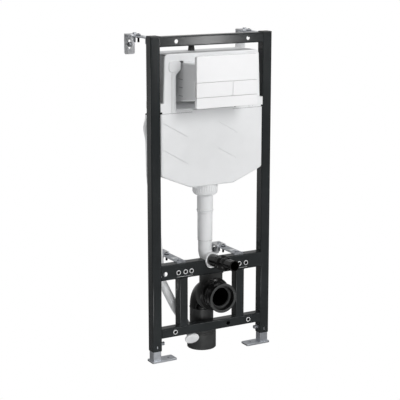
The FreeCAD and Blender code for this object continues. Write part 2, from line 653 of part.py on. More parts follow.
def upper_outline():
    """Upper cistern outline: a shoulder at the bottom and a narrower head that tapers upwards."""
    head = CISTERN_HEAD
    top = CISTERN_HEAD - CISTERN_TAPER
    return [(-INNER, CISTERN_SEAM), (INNER, CISTERN_SEAM), (INNER, CISTERN_SHOULDER),
            (head, CISTERN_SHOULDER), (top, CISTERN_TOP), (-top, CISTERN_TOP),
            (-head, CISTERN_SHOULDER), (-INNER, CISTERN_SHOULDER)]


def cistern_upper():
    """Upper half of the cistern: a moulded head with a slope-floored recess and two front lugs."""
    outer = plate_xz(upper_outline(), 0, CISTERN_DEPTH)
    outer = rounded(outer, Y_AXIS, CISTERN_TOP_CORNER, lambda point: point.z > CISTERN_TOP - 1)
    outer = shell_edges(outer, CISTERN_EDGE * 0.7, CISTERN_SHOULDER + 2, CISTERN_TOP + 1)
    wall = CISTERN_WALL
    side = CISTERN_HEAD - CISTERN_TAPER - wall
    hollow = block(-side, side, wall, CISTERN_DEPTH - wall, CISTERN_SEAM, CISTERN_TOP - wall)
    low = CISTERN_SEAM + RECESS_FLOOR
    high = CISTERN_TOP - RECESS_TOP_MARGIN
    mouth = -LUG_PROUD - 1
    back = RECESS_DEPTH
    outline = [(mouth, low), (0, low), (back, low + RECESS_SLOPE), (back, high), (mouth, high)]
    recess = plate_yz(outline, -RECESS_HALF, RECESS_HALF)
    recess = rounded(recess, Y_AXIS, CISTERN_EDGE, lambda point: point.z > high - 1)
    outline = [(0, low - wall), (back + wall, low + RECESS_SLOPE - wall), (back + wall, high + wall),
               (0, high + wall)]
    lining = plate_yz(outline, -RECESS_HALF - wall, RECESS_HALF + wall)
    lug_top = CISTERN_TOP - LUG_TOP_DROP
    lug = block(LUG_OUTER - LUG_WIDTH, LUG_OUTER, -LUG_PROUD, RECESS_DEPTH / 2, lug_top - LUG_HEIGHT, lug_top)
    lug = rounded(lug, Y_AXIS, CISTERN_EDGE * 1.6)
    rim = [edge for edge in lug.Edges if edge.CenterOfMass.y < 0.01 - LUG_PROUD]
    lug = lug.makeFillet(LUG_PROUD * 0.7, rim)
    shell = outer.cut(wing_steps()).cut(hollow.cut(lining)).cut(recess)
    shell = shell.fuse([lug, mirrored(lug)]).removeSplitter()
    notch = block(INNER - SEAM_NOTCH, INNER + 1, -1, wall + 1, CISTERN_SEAM, CISTERN_SEAM + SEAM_NOTCH)
    return shell.cut([notch, mirrored(notch)])


def service_shaft():
    """Open shaft from the recess to the flush plate, with a sloping floor."""
    wall = SHAFT_WALL
    front = FLUSH_PLATE_BACK
    outline = [(front, SHAFT_BOTTOM_FRONT), (RECESS_DEPTH, SHAFT_BOTTOM_BACK), (RECESS_DEPTH, SHAFT_TOP),
               (front, SHAFT_TOP)]
    outer = plate_yz(outline, -SHAFT_HALF, SHAFT_HALF)
    outer = outer.makeFillet(wall * 2, [edge for edge in outer.Edges
                                        if abs(abs(edge.CenterOfMass.x) - SHAFT_HALF) < 0.01
                                        and front + 1 < edge.CenterOfMass.y < RECESS_DEPTH - 1])
    inner = [(front - 1, SHAFT_BOTTOM_FRONT + wall), (RECESS_DEPTH + 1, SHAFT_BOTTOM_BACK + wall),
             (RECESS_DEPTH + 1, SHAFT_TOP - wall), (front - 1, SHAFT_TOP - wall)]
    return outer.cut(plate_yz(inner, wall - SHAFT_HALF, SHAFT_HALF - wall))


def button_span(number):
    """Left and right edge of the large (0) or small (1) button."""
    edge = FLUSH_PLATE_WIDTH / 2 - BUTTON_END_INSET
    if number == 0:
        return -edge, BUTTON_SPLIT - BUTTON_GAP / 2
    return BUTTON_SPLIT + BUTTON_GAP / 2, edge


def button_pins(number, radius):
    """Guide pins behind a button, two across its width."""
    x0, x1 = button_span(number)
    z = (BAND_BOTTOM + BAND_TOP) / 2
    start = FLUSH_PLATE_FRONT + BUTTON_THICKNESS - 0.5
    length = FLUSH_PLATE_THICKNESS - BUTTON_THICKNESS + BUTTON_PIN_EXTRA
    places = (x0 + BUTTON_PIN_INSET, x1 - BUTTON_PIN_INSET)
    return [cylinder(radius, (x, start, z), Y_AXIS, length) for x in places]


def button(number):
    x0, x1 = button_span(number)
    face = block(x0, x1, FLUSH_PLATE_FRONT, FLUSH_PLATE_FRONT + BUTTON_THICKNESS,
                 BAND_BOTTOM + BUTTON_GAP, BAND_TOP - BUTTON_GAP)
    front = [edge for edge in face.Edges if edge.CenterOfMass.y < FLUSH_PLATE_FRONT + 0.01]
    face = face.makeFillet(BUTTON_GAP * 0.6, front)
    return face.fuse(button_pins(number, BUTTON_PIN_RADIUS)).removeSplitter()


def flush_plate():
    """Dual flush plate: a rounded plate with one band across it where the two buttons sit."""
    half = FLUSH_PLATE_WIDTH / 2
    plate = block(-half, half, FLUSH_PLATE_FRONT, FLUSH_PLATE_BACK, FLUSH_PLATE_BOTTOM, FLUSH_PLATE_TOP)
    plate = rounded(plate, Y_AXIS, FLUSH_PLATE_EDGE * 2)
    front = [edge for edge in plate.Edges if edge.CenterOfMass.y < FLUSH_PLATE_FRONT + 0.01]
    plate = plate.makeFillet(FLUSH_PLATE_EDGE * 0.5, front)
    band = block(-half - 1, half + 1, FLUSH_PLATE_FRONT - 1, FLUSH_PLATE_FRONT + BAND_DEPTH,
                 BAND_BOTTOM, BAND_TOP)
    holes = button_pins(0, BUTTON_PIN_RADIUS + BUTTON_PIN_CLEARANCE)
    holes += button_pins(1, BUTTON_PIN_RADIUS + BUTTON_PIN_CLEARANCE)
    return plate.cut(band).cut(holes)


def inlet_fitting():
    """Water inlet: a six-sided nut on the cistern, a round body and a narrower end."""
    radius = INLET_RADIUS
    height = INLET_HEIGHT
    place = (INLET_X, INLET_Y, CISTERN_TOP)
    neck = radius * 0.75
    profile = [(0, 0), (radius, 0), (radius, height * 0.75), (neck, height * 0.8), (neck, height),
               (0, height)]
    nut = hexagon(INLET_NUT_RADIUS, place, Z_AXIS, INLET_NUT_HEIGHT)
    return turned(profile, place, Z_AXIS).fuse(nut).removeSplitter()


def flush_nut():
    """Hand nut under the cistern: a deep round ring with fine grips and a rounded lower rim."""
    top = CISTERN_BOTTOM
    height = PIPE_NUT_HEIGHT
    bore = PIPE_SLEEVE_RADIUS + FIT_CLEARANCE
    radius = PIPE_NUT_RADIUS
    profile = [(bore, 0), (radius - 2, 0), (radius, 2), (radius, height * 0.72),
               (radius * 0.96, height * 0.86), (radius * 0.86, height * 0.97), (radius * 0.8, height),
               (bore, height)]
    nut = turned(profile, (0, PIPE_Y, top), Vec(0, 0, -1))
    reach = radius + PIPE_NUT_GRIP - PIPE_NUT_GRIP_DEPTH
    grips = []
    for step in range(PIPE_NUT_GRIPS):
        turn = 2 * math.pi * (step + 0.5) / PIPE_NUT_GRIPS
        place = (reach * math.cos(turn), PIPE_Y + reach * math.sin(turn), top)
        grips.append(cylinder(PIPE_NUT_GRIP, place, Vec(0, 0, -1), height * 0.7))
    return nut.cut(grips)


def flush_pipe():
    """Straight flush pipe with a sleeve that hangs from the nut and a bead near the sleeve's end."""
    end = CISTERN_BOTTOM - PIPE_END_Z
    bead = PIPE_BEAD_DROP
    sleeve = PIPE_SLEEVE_RADIUS
    bore = PIPE_RADIUS - PIPE_WALL
    profile = [(bore, 0), (sleeve, 0), (sleeve, bead - PIPE_BEAD), (sleeve + PIPE_BEAD, bead),
               (sleeve, bead + PIPE_BEAD), (sleeve, PIPE_SLEEVE_END - 1), (PIPE_RADIUS, PIPE_SLEEVE_END),
               (PIPE_RADIUS, end), (bore, end)]
    return turned(profile, (0, PIPE_Y, CISTERN_BOTTOM), Vec(0, 0, -1))


def elbow_heading():
    tilt = math.radians(ELBOW_TILT)
    return Vec(0, -math.cos(tilt), math.sin(tilt))


def elbow_path():
    """Centre line of the flush elbow: down, round the bend and out to the mouth."""
    heading = elbow_heading()
    mouth = Vec(0, ELBOW_MOUTH_Y, ELBOW_AXIS_Z)
    corner = mouth.sub(heading * ((PIPE_Y - ELBOW_MOUTH_Y) / -heading.y))
    top = Vec(0, PIPE_Y, PIPE_END_Z + ELBOW_SPIGOT)
    return bent([top, corner, mouth], ELBOW_BEND), mouth


def flush_elbow():
    """Flush elbow: a spigot in the pipe, a bend to the front and a wider mouth for the connector."""
    path, mouth = elbow_path()
    radius = PIPE_RADIUS - PIPE_WALL - FIT_CLEARANCE
    heading = elbow_heading()
    bore = CONNECTOR_RADIUS + FIT_CLEARANCE
    profile = [(0, 0), (MOUTH_RADIUS, 0), (MOUTH_RADIUS, MOUTH_LENGTH - 5), (radius - 1, MOUTH_LENGTH + 2),
               (0, MOUTH_LENGTH + 2)]
    body = swept(path, radius).fuse(turned(profile, mouth, heading * -1)).removeSplitter()
    seat = cylinder(bore, mouth + heading, heading * -1, CONNECTOR_INSERT + 1 + FIT_CLEARANCE)
    return body.cut(swept(path, radius - ELBOW_WALL - 0.6)).cut(seat)


def flush_connector():
    """Flush connector: a stepped rubber tube pushed into the elbow, with two collars."""
    heading = elbow_heading()
    mouth = Vec(0, ELBOW_MOUTH_Y, ELBOW_AXIS_Z)
    bore = CONNECTOR_END_RADIUS - CONNECTOR_WALL
    length = CONNECTOR_LENGTH
    profile = [(bore, -CONNECTOR_INSERT), (CONNECTOR_RADIUS, -CONNECTOR_INSERT),
               (CONNECTOR_RADIUS, length * 0.36), (CONNECTOR_COLLAR_RADIUS, length * 0.38),
               (CONNECTOR_COLLAR_RADIUS, length * 0.47),
               (CONNECTOR_RADIUS - 2, length * 0.50), (CONNECTOR_RADIUS - 2, length * 0.58),
               (CONNECTOR_RADIUS, length * 0.60), (CONNECTOR_RADIUS, length * 0.66),
               (CONNECTOR_END_RADIUS, length * 0.70), (CONNECTOR_END_RADIUS, length - 2),
               (CONNECTOR_END_RADIUS - 1, length), (bore, length)]
    return turned(profile, mouth, heading)


def waste_path(start_y, end_z):
    """Centre line of the waste elbow: back from the socket, round the bend and down."""
    return bent([Vec(0, start_y, WASTE_Z), Vec(0, WASTE_Y, WASTE_Z), Vec(0, WASTE_Y, end_z)], WASTE_BEND)


def waste_socket():
    """Socket for the bowl's outlet: a beaded sleeve, and a collar in front of the holder."""
    bead = SOCKET_RADIUS + SOCKET_BEAD
    depth = SOCKET_DEPTH
    neck = SOCKET_NECK
    bore = WASTE_RADIUS - WASTE_WALL
    rim = COLLAR_DROP + COLLAR_RIM
    profile = [(SOCKET_BORE, 0), (bead - 1, 0), (bead, 1), (bead, 7), (SOCKET_RADIUS, 9),
               (SOCKET_RADIUS, depth - 8), (bead, depth - 6), (bead, depth), (neck + 2, depth + 5),
               (neck, depth + 8), (neck, COLLAR_DROP - 3), (COLLAR_RADIUS - 2, COLLAR_DROP),
               (COLLAR_RADIUS, COLLAR_DROP + 2), (COLLAR_RADIUS, rim - 2), (COLLAR_RADIUS - 2, rim),
               (neck, rim + 3), (neck, SOCKET_LENGTH), (bore, SOCKET_LENGTH), (bore, depth),
               (SOCKET_BORE, depth)]
    return turned(profile, (0, SOCKET_FRONT, WASTE_Z), Y_AXIS)


def waste_elbow():
    """Waste elbow: one long bend from the socket to the adapter, with a weld bead at its lower end."""
    start = SOCKET_FRONT + SOCKET_LENGTH
    bore = WASTE_RADIUS - WASTE_WALL
    bead = WASTE_RADIUS + WASTE_WELD
    ring = [(bore, 0), (bead, 0), (bead, WASTE_WELD), (WASTE_RADIUS, 2 * WASTE_WELD), (bore, 2 * WASTE_WELD)]
    body = swept(waste_path(start, WASTE_END), WASTE_RADIUS)
    body = body.fuse(turned(ring, (0, WASTE_Y, WASTE_END), Z_AXIS)).removeSplitter()
    return body.cut(swept(waste_path(start, WASTE_END), bore))


def waste_adapter():
    """Adapter welded to the elbow: a spigot that steps out to the larger floor pipe, with moulded rings."""
    spigot = WASTE_RADIUS
    inner = WASTE_RADIUS - WASTE_WALL
    bore = ADAPTER_RADIUS - ADAPTER_WALL
    outer = ADAPTER_RADIUS
    height = ADAPTER_LENGTH
    top = WASTE_END - ADAPTER_FOOT
    rib = height - ADAPTER_RIB_DROP
    groove_r = outer - ADAPTER_GROOVE
    profile = [(bore, 0), (outer - 1.5, 0), (outer, 1.5), (outer, rib - 8), (groove_r, rib - 7),
               (groove_r, rib - 5), (outer, rib - 4), (outer, rib), (groove_r, rib + 1), (groove_r, rib + 3),
               (outer, rib + 4), (outer, height - 4), (outer - 4, height), (spigot + 2, height),
               (spigot, height + 3), (spigot, top), (inner, top), (inner, height),
               (bore, height - ADAPTER_STEP)]
    return turned(profile, (0, WASTE_Y, ADAPTER_FOOT), Z_AXIS)


def elbow_holder():
    """Holder plate under the middle bar: a flange to the bar and a ring round the elbow's neck."""
    y0 = HOLDER_Y
    y1 = HOLDER_Y + HOLDER_THICKNESS
    plate = block(-HOLDER_HALF, HOLDER_HALF, y0, y1, WASTE_Z, MIDDLE_BOTTOM)
    disc = cylinder(HOLDER_RING_RADIUS, (0, y0, WASTE_Z), Y_AXIS, HOLDER_THICKNESS)
    plate = plate.fuse(disc).removeSplitter()
    corners = [edge for edge in along(plate, Y_AXIS) if WASTE_Z + 5 < edge.CenterOfMass.z < MIDDLE_BOTTOM - 5]
    plate = plate.makeFillet(HOLDER_RING_RADIUS / 4, corners)
    flange = block(-HOLDER_HALF, HOLDER_HALF, 2, y1, MIDDLE_BOTTOM - HOLDER_THICKNESS * 0.6, MIDDLE_BOTTOM)
    holder = plate.fuse(flange).removeSplitter()
    ring_hole = cylinder(WASTE_RADIUS + HOLDER_CLEARANCE, (0, y0 - 1, WASTE_Z), Y_AXIS, HOLDER_THICKNESS + 2)
    return holder.cut(ring_hole)


def conduit_line():
    """Centre line of the conduit: down behind the upright, then across and forward under the lower bar."""
    face = Vec(*CONDUIT_FACE).normalize()
    end = Vec(*CONDUIT_END).sub(face * CONDUIT_CAP_THICKNESS)
    start = Vec(CONDUIT_X, CONDUIT_Y, CONDUIT_TOP)
    route = [start]
    route += [start.add(Vec(*place)) for place in CONDUIT_UPPER]
    route += [Vec(*CONDUIT_END).add(Vec(*place)) for place in CONDUIT_LOWER]
    route += [end.sub(face * CONDUIT_TURN), end]
    return bent(route, CONDUIT_BEND), end, face


def conduit_pipe():
    path, end, face = conduit_line()
    return swept(path, CONDUIT_RADIUS).cut(swept(path, CONDUIT_RADIUS - CONDUIT_WALL))


def conduit_cap():
    """Round cap on the conduit's lower end, with a plug inside the pipe."""
    path, end, face = conduit_line()
    plug = CONDUIT_RADIUS - CONDUIT_WALL - FIT_CLEARANCE
    radius = CONDUIT_CAP_RADIUS
    thick = CONDUIT_CAP_THICKNESS
    profile = [(0, -CONDUIT_PLUG), (plug, -CONDUIT_PLUG), (plug, 0), (radius - 1, 0), (radius, 1),
               (radius, thick - 1), (radius - 1, thick), (0, thick)]
    return turned(profile, end, face)


def conduit_spigot():
    """Spigot that hangs the conduit on the side of the cistern."""
    low = CONDUIT_TOP
    radius = CONDUIT_SPIGOT_RADIUS
    height = CONDUIT_SPIGOT_TOP - low
    neck = CONDUIT_RADIUS - CONDUIT_WALL - FIT_CLEARANCE
    knob = height - CONDUIT_KNOB
    profile = [(0, -CONDUIT_PLUG), (neck, -CONDUIT_PLUG), (neck, 0), (CONDUIT_RADIUS, 0), (CONDUIT_RADIUS, 3),
               (radius - 2, 5), (radius - 2, knob - 1), (radius, knob), (radius, height - 2),
               (radius - 2, height), (0, height)]
    body = turned(profile, (CONDUIT_X, CONDUIT_Y, low), Z_AXIS)
    stub_z = CONDUIT_SPIGOT_TOP - CONDUIT_STUB_DROP
    stub = cylinder(CONDUIT_STUB_RADIUS, (CONDUIT_X, CONDUIT_Y, stub_z), X_AXIS, -CISTERN_HEAD - CONDUIT_X)
    return body.fuse(stub).removeSplitter()


def build():
    """Every piece of the frame by name, in layout coordinates."""
    nodes = {}
    pairs = {"upright": upright(), "end_cap": end_cap(), "short_post": short_post(), "leg": leg(),
             "foot_plate": foot_plate(), "leg_bolt": leg_bolt(), "bowl_nuts": bowl_nuts(),
             "lower_nut": lower_nut()}
    flange_top = TUBE_TOP
    strap_top = flange_top - BRACKET_THICKNESS
    pairs["top_wall_bracket"] = wall_bracket(TOP_BRACKET_OFFSET, TUBE_X, flange_top, TOP_BRACKET_DROP,
                                             BRACKET_SLOT_LENGTH)
    pairs["top_strap"] = strap(TUBE_X, strap_top, TUBE_SIDE, True)
    strap_top = MIDDLE_TOP + STRAP_THICKNESS
    flange_top = strap_top + BRACKET_THICKNESS
    pairs["middle_wall_bracket"] = wall_bracket(MIDDLE_BRACKET_OFFSET, MIDDLE_BRACKET_OFFSET, flange_top,
                                                MIDDLE_BRACKET_DROP, MIDDLE_SLOT_LENGTH)
    pairs["middle_strap"] = strap(MIDDLE_BRACKET_OFFSET, strap_top, STRAP_FRONT, False)
    for name, shape in pairs.items():
        nodes["right_" + name] = shape
        nodes["left_" + name] = mirrored(shape)
    nodes["top_bar"] = top_bar()
    nodes["middle_bar"] = middle_bar()
    nodes["lower_bar"] = lower_bar()
    nodes["cistern_lower_shell"] = cistern_lower()
    nodes["cistern_upper_shell"] = cistern_upper()
    nodes["service_shaft"] = service_shaft()
    nodes["flush_plate"] = flush_plate()
    nodes["large_button"] = button(0)
    nodes["small_button"] = button(1)
    nodes["inlet_fitting"] = inlet_fitting()
    nodes["flush_pipe_nut"] = flush_nut()
    nodes["flush_pipe"] = flush_pipe()
    nodes["flush_elbow"] = flush_elbow()
    nodes["flush_connector"] = flush_connector()
    nodes["waste_socket"] = waste_socket()
    nodes["waste_elbow"] = waste_elbow()
    nodes["waste_adapter"] = waste_adapter()
    nodes["elbow_holder"] = elbow_holder()
    nodes["conduit_pipe"] = conduit_pipe()
    nodes["conduit_cap"] = conduit_cap()
    nodes["conduit_spigot"] = conduit_spigot()
    return nodes


def main():
    nodes = build()
    whole = FreeCAD.BoundBox()
    for shape in nodes.values():
        whole.add(shape.optimalBoundingBox(False))
    shift = Vec(0, -(whole.YMin + whole.YMax) / 2, 0)
    os.makedirs("parts", exist_ok=True)
    for name, shape in nodes.items():
        placed = shape.copy()
        placed.translate(shift)
        placed.exportStep(os.path.join("parts", name + ".step"))


main()
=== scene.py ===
import json
import math

import bpy
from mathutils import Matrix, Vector


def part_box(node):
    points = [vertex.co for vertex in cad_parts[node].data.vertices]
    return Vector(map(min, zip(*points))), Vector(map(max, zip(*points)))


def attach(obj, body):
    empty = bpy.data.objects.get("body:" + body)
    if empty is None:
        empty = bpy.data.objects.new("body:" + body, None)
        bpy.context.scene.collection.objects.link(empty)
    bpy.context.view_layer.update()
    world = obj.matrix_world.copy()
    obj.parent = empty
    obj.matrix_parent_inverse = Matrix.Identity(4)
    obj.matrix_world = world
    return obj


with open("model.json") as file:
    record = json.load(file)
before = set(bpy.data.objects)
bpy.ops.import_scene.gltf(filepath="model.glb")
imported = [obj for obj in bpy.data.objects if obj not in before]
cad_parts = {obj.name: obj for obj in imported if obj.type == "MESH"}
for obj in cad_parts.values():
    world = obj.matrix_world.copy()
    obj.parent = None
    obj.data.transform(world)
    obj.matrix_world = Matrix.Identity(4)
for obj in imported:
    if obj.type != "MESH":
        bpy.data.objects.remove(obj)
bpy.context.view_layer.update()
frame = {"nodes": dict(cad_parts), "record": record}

bl_info = {
    "name": "Wall Hung Toilet Frame",
    "version": (1, 0, 0),
    "blender": (4, 5, 0),
    "location": "View3D > Sidebar > Toilet Frame",
    "description": "Dresses a wall hung toilet frame with its finishes, fasteners, seals and a studio stage",
    "category": "Object",
}

MM = 0.001
BODY = "frame"
SIDES = ("left", "right")
LEVELS = ("top", "middle")
UP, DOWN = (0, 0, 1), (0, 0, -1)
TO_FRONT, TO_WALL = (0, -1, 0), (0, 1, 0)

# Each finish: the material's name and its slot in the record.
# Some finishes also paint light: the white one paints the highlights of the stud rings and pad edges, the
# rubber one the shade in the seam's end notches, and the nylon one the shadow lines along the seam, in the
# shaft's sides and under the flush pipe's end.
COAT = ("powder-coated steel", "powder_coat")
ZINC = ("zinc-plated steel", "zinc")
WHITE = ("moulded white polyethylene", "white_plastic")
GLOSS = ("polished white ABS", "white_gloss")
PIPE = ("black polyethylene pipe", "black_pipe")
RUBBER = ("moulded EPDM rubber", "black_rubber")
NYLON = ("moulded black nylon", "black_plastic")

# Each soft box: name, property that holds its power, place, size, aim, spread in degrees, seen by the camera.
SOFT_BOXES = (
    ("large soft box", "key", (0.95, -3.6, 2.6), (1.3, 1.9), (0, 0, 0.75), 180, True),
    ("overhead soft box", "overhead", (0.2, -0.4, 3.4), (1.8, 1.6), (0, 0, 0.6), 180, True),
    ("low fill", "fill", (-0.22, -0.5, 0.07), (0.2, 0.12), (-0.07, 0, 0.06), 180, False),
    ("side fill", "side", (-0.8, 0.35, 0.86), (0.2, 0.3), (-0.25, 0.1, 0.86), 36, False),
    ("strip light", "strip", (1.71, -3.05, 0.83), (0.2, 0.5), (0, 0, 1.15), 180, True),
)
FLOOR_RADIUS = 9.0
FLOOR_DROP = 0.4 * MM
SENSOR_WIDTH = 36.0


def linear(code):
    """An sRGB hex colour as linear red, green, blue and alpha."""
    parts = [int(code[i:i + 2], 16) / 255 for i in (1, 3, 5)]
    return [c / 12.92 if c <= 0.04045 else ((c + 0.055) / 1.055) ** 2.4 for c in parts] + [1.0]


def shaded(code, share):
    """A hex colour made darker or lighter by a share, in linear terms and at most white."""
    return [min(c * share, 1.0) for c in linear(code)[:3]] + [1.0]


def add_node(tree, kind, values=None, stops=(), **settings):
    """Adds a node with its settings and any (position, colour) stops, and sets or links each socket.

    A socket's value is a constant, or a (node, output) pair to link it to.
    """
    made = tree.nodes.new(kind)
    for key, value in settings.items():
        setattr(made, key, value)
    for index, (position, colour) in enumerate(stops):
        made.color_ramp.elements[index].position = position
        made.color_ramp.elements[index].color = colour
    for key, value in (values or {}).items():
        if isinstance(value, tuple) and isinstance(value[0], bpy.types.Node):
            tree.links.new(value[0].outputs[value[1]], made.inputs[key])
        else:
            made.inputs[key].default_value = value
    return made


def blank_material(name):
    """A new material with an empty tree, its output node and its Object coordinates."""
    material = bpy.data.materials.new(name)
    material.use_nodes = True
    tree = material.node_tree
    tree.nodes.clear()
    output = add_node(tree, "ShaderNodeOutputMaterial")
    place = add_node(tree, "ShaderNodeTexCoord")
    return material, tree, output, (place, "Object")


def powder_coated_steel(colour):
    """Sprayed and baked powder: a dark satin skin with a fine orange peel and a slow change of sheen.

    The peel is drawn at 2.4 mm, coarser than the real one, so that it shows.
    """
    peel_mm, cloud_mm, peel_depth_mm = 2.4, 90, 0.05
    material, tree, output, place = blank_material(COAT[0])
    peel = add_node(tree, "ShaderNodeTexNoise", {"Vector": place, "Scale": 1 / (peel_mm * MM), "Detail": 2.0})
    cloud = add_node(tree, "ShaderNodeTexNoise", {"Vector": place, "Scale": 1 / (cloud_mm * MM),
                                                  "Detail": 3.0})
    tint = add_node(tree, "ShaderNodeValToRGB", {"Fac": (cloud, "Fac")},
                    stops=((0.3, shaded(colour, 0.88)), (0.7, shaded(colour, 1.12))))
    sheen = add_node(tree, "ShaderNodeMapRange", {"Value": (cloud, "Fac"), "To Min": 0.13, "To Max": 0.17})
    bump = add_node(tree, "ShaderNodeBump", {"Height": (peel, "Fac"), "Strength": 0.12,
                                             "Distance": peel_depth_mm * MM})
    shader = add_node(tree, "ShaderNodeBsdfPrincipled", {
        "Base Color": (tint, "Color"), "Roughness": (sheen, "Result"), "Normal": (bump, "Normal"),
        "IOR": 1.5, "Specular IOR Level": 0.35})
    tree.links.new(shader.outputs["BSDF"], output.inputs["Surface"])
    return material


def zinc_plated_steel(name, colour, metal, rough):
    """Zinc on rolled steel: grey metal with rolling lines and faint cloudy patches, chalky on stamped sheet.

    The lines are drawn 1.6 mm apart, coarser than real ones, so that they show.
    """
    line_mm, patch_mm, line_depth_mm, line_stretch = 1.6, 9, 0.05, 0.06
    material, tree, output, place = blank_material(name)
    rolled = add_node(tree, "ShaderNodeMapping", {"Vector": place, "Scale": (1.0, 1.0, line_stretch)})
    lines = add_node(tree, "ShaderNodeTexNoise", {"Vector": (rolled, "Vector"), "Scale": 1 / (line_mm * MM),
                                                  "Detail": 3.0})
    patches = add_node(tree, "ShaderNodeTexVoronoi", {"Vector": place, "Scale": 1 / (patch_mm * MM)},
                       feature="SMOOTH_F1")
    tint = add_node(tree, "ShaderNodeValToRGB", {"Fac": (patches, "Distance")},
                    stops=((0.0, shaded(colour, 0.86)), (1.0, shaded(colour, 1.1))))
    dull = add_node(tree, "ShaderNodeMapRange", {"Value": (lines, "Fac"), "To Min": rough - 0.07,
                                                 "To Max": rough + 0.07})
    bump = add_node(tree, "ShaderNodeBump", {"Height": (lines, "Fac"), "Strength": 0.15,
                                             "Distance": line_depth_mm * MM})
    shader = add_node(tree, "ShaderNodeBsdfPrincipled", {
        "Base Color": (tint, "Color"), "Metallic": metal, "Roughness": (dull, "Result"),
        "Normal": (bump, "Normal")})
    tree.links.new(shader.outputs["BSDF"], output.inputs["Surface"])
    return material


def moulded_white(name, colour, rough, flow_mm):
    """Moulded white polyethylene or ABS: a satin or glossy skin with flow marks and a fine tool texture."""
    tool_mm, tool_depth_mm = 1.2, 0.04
    material, tree, output, place = blank_material(name)
    flow = add_node(tree, "ShaderNodeTexNoise", {"Vector": place, "Scale": 1 / (flow_mm * MM), "Detail": 2.0})
    skin = add_node(tree, "ShaderNodeTexNoise", {"Vector": place, "Scale": 1 / (tool_mm * MM), "Detail": 2.0})
    tint = add_node(tree, "ShaderNodeValToRGB", {"Fac": (flow, "Fac")},
                    stops=((0.25, shaded(colour, 0.965)), (0.75, linear(colour))))
    sheen = add_node(tree, "ShaderNodeMapRange", {"Value": (flow, "Fac"), "To Min": rough - 0.04,
                                                  "To Max": rough + 0.06})
    bump = add_node(tree, "ShaderNodeBump", {"Height": (skin, "Fac"), "Strength": 0.08,
                                             "Distance": tool_depth_mm * MM})
    shader = add_node(tree, "ShaderNodeBsdfPrincipled", {
        "Base Color": (tint, "Color"), "Roughness": (sheen, "Result"), "Normal": (bump, "Normal"),
        "IOR": 1.5, "Specular IOR Level": 0.4})
    tree.links.new(shader.outputs["BSDF"], output.inputs["Surface"])
    return material


def black_moulding(name, colour, rough, grain_mm, strength, gloss):
    """Black pipe, rubber or nylon: a deep colour with a slight bloom and the grain that its mould leaves."""
    bloom_mm, grain_depth_mm = 35, 0.05
    material, tree, output, place = blank_material(name)
    bloom = add_node(tree, "ShaderNodeTexNoise", {"Vector": place, "Scale": 1 / (bloom_mm * MM),
                                                  "Detail": 3.0})
    grain = add_node(tree, "ShaderNodeTexNoise", {"Vector": place, "Scale": 1 / (grain_mm * MM),
                                                  "Detail": 2.0})
    tint = add_node(tree, "ShaderNodeValToRGB", {"Fac": (bloom, "Fac")},
                    stops=((0.3, shaded(colour, 0.8)), (0.75, shaded(colour, 1.25))))
    sheen = add_node(tree, "ShaderNodeMapRange", {"Value": (bloom, "Fac"), "To Min": rough - 0.05,
                                                  "To Max": rough + 0.07})
    bump = add_node(tree, "ShaderNodeBump", {"Height": (grain, "Fac"), "Strength": strength,
                                             "Distance": grain_depth_mm * MM})
    shader = add_node(tree, "ShaderNodeBsdfPrincipled", {
        "Base Color": (tint, "Color"), "Roughness": (sheen, "Result"), "Normal": (bump, "Normal"),
        "IOR": 1.5, "Specular IOR Level": gloss})
    tree.links.new(shader.outputs["BSDF"], output.inputs["Surface"])
    return material


class ToiletFrameFinish(bpy.types.PropertyGroup):
    """Colours of the finishes"""
    # The cistern colour also paints highlights on the stud rings and pad edges, and the rubber and nylon
    # colours paint shade and shadow lines at the seam, in the shaft's sides and under the flush pipe's end.
    coat: bpy.props.StringProperty(
        name="Frame coat", description="Powder coat of the frame, sRGB hex", default="#252829")
    zinc: bpy.props.StringProperty(
        name="Zinc", description="Zinc plating of legs, straps and bolts, sRGB hex", default="#C9CCD1")
    sheet: bpy.props.StringProperty(
        name="Sheet", description="Galvanised wall brackets, sRGB hex", default="#E6E7E9")
    shell: bpy.props.StringProperty(
        name="Cistern", description="Moulded cistern and pipes, sRGB hex", default="#EEEFF0")
    plate: bpy.props.StringProperty(
        name="Flush plate", description="Flush plate and buttons, sRGB hex", default="#F7F7F8")
    pipe: bpy.props.StringProperty(
        name="Waste pipe", description="Black waste pipe, sRGB hex", default="#090909")
    rubber: bpy.props.StringProperty(
        name="Rubber", description="Flush connector and seals, sRGB hex", default="#090909")
    nylon: bpy.props.StringProperty(
        name="Nylon", description="End caps, washers and fittings, sRGB hex", default="#373838")


class ToiletFrameDetail(bpy.types.PropertyGroup):
    """Sizes of the small fittings"""
    bead: bpy.props.FloatProperty(
        name="Weld bead", description="Half width of a weld bead", default=2.0 * MM, unit="LENGTH")
    pitch: bpy.props.FloatProperty(
        name="Thread pitch", description="Thread pitch, coarser than real so that it shows",
        default=1.75 * MM, unit="LENGTH")
    washer: bpy.props.FloatProperty(
        name="Washer", description="Radius of a wall screw's washer", default=9.5 * MM, unit="LENGTH")
    plug: bpy.props.FloatProperty(
        name="Thread plug", description="Radius of a thread plug", default=5.1 * MM, unit="LENGTH")
    screw: bpy.props.FloatProperty(
        name="Screw head", description="Radius of a wall screw's head", default=6.0 * MM, unit="LENGTH")


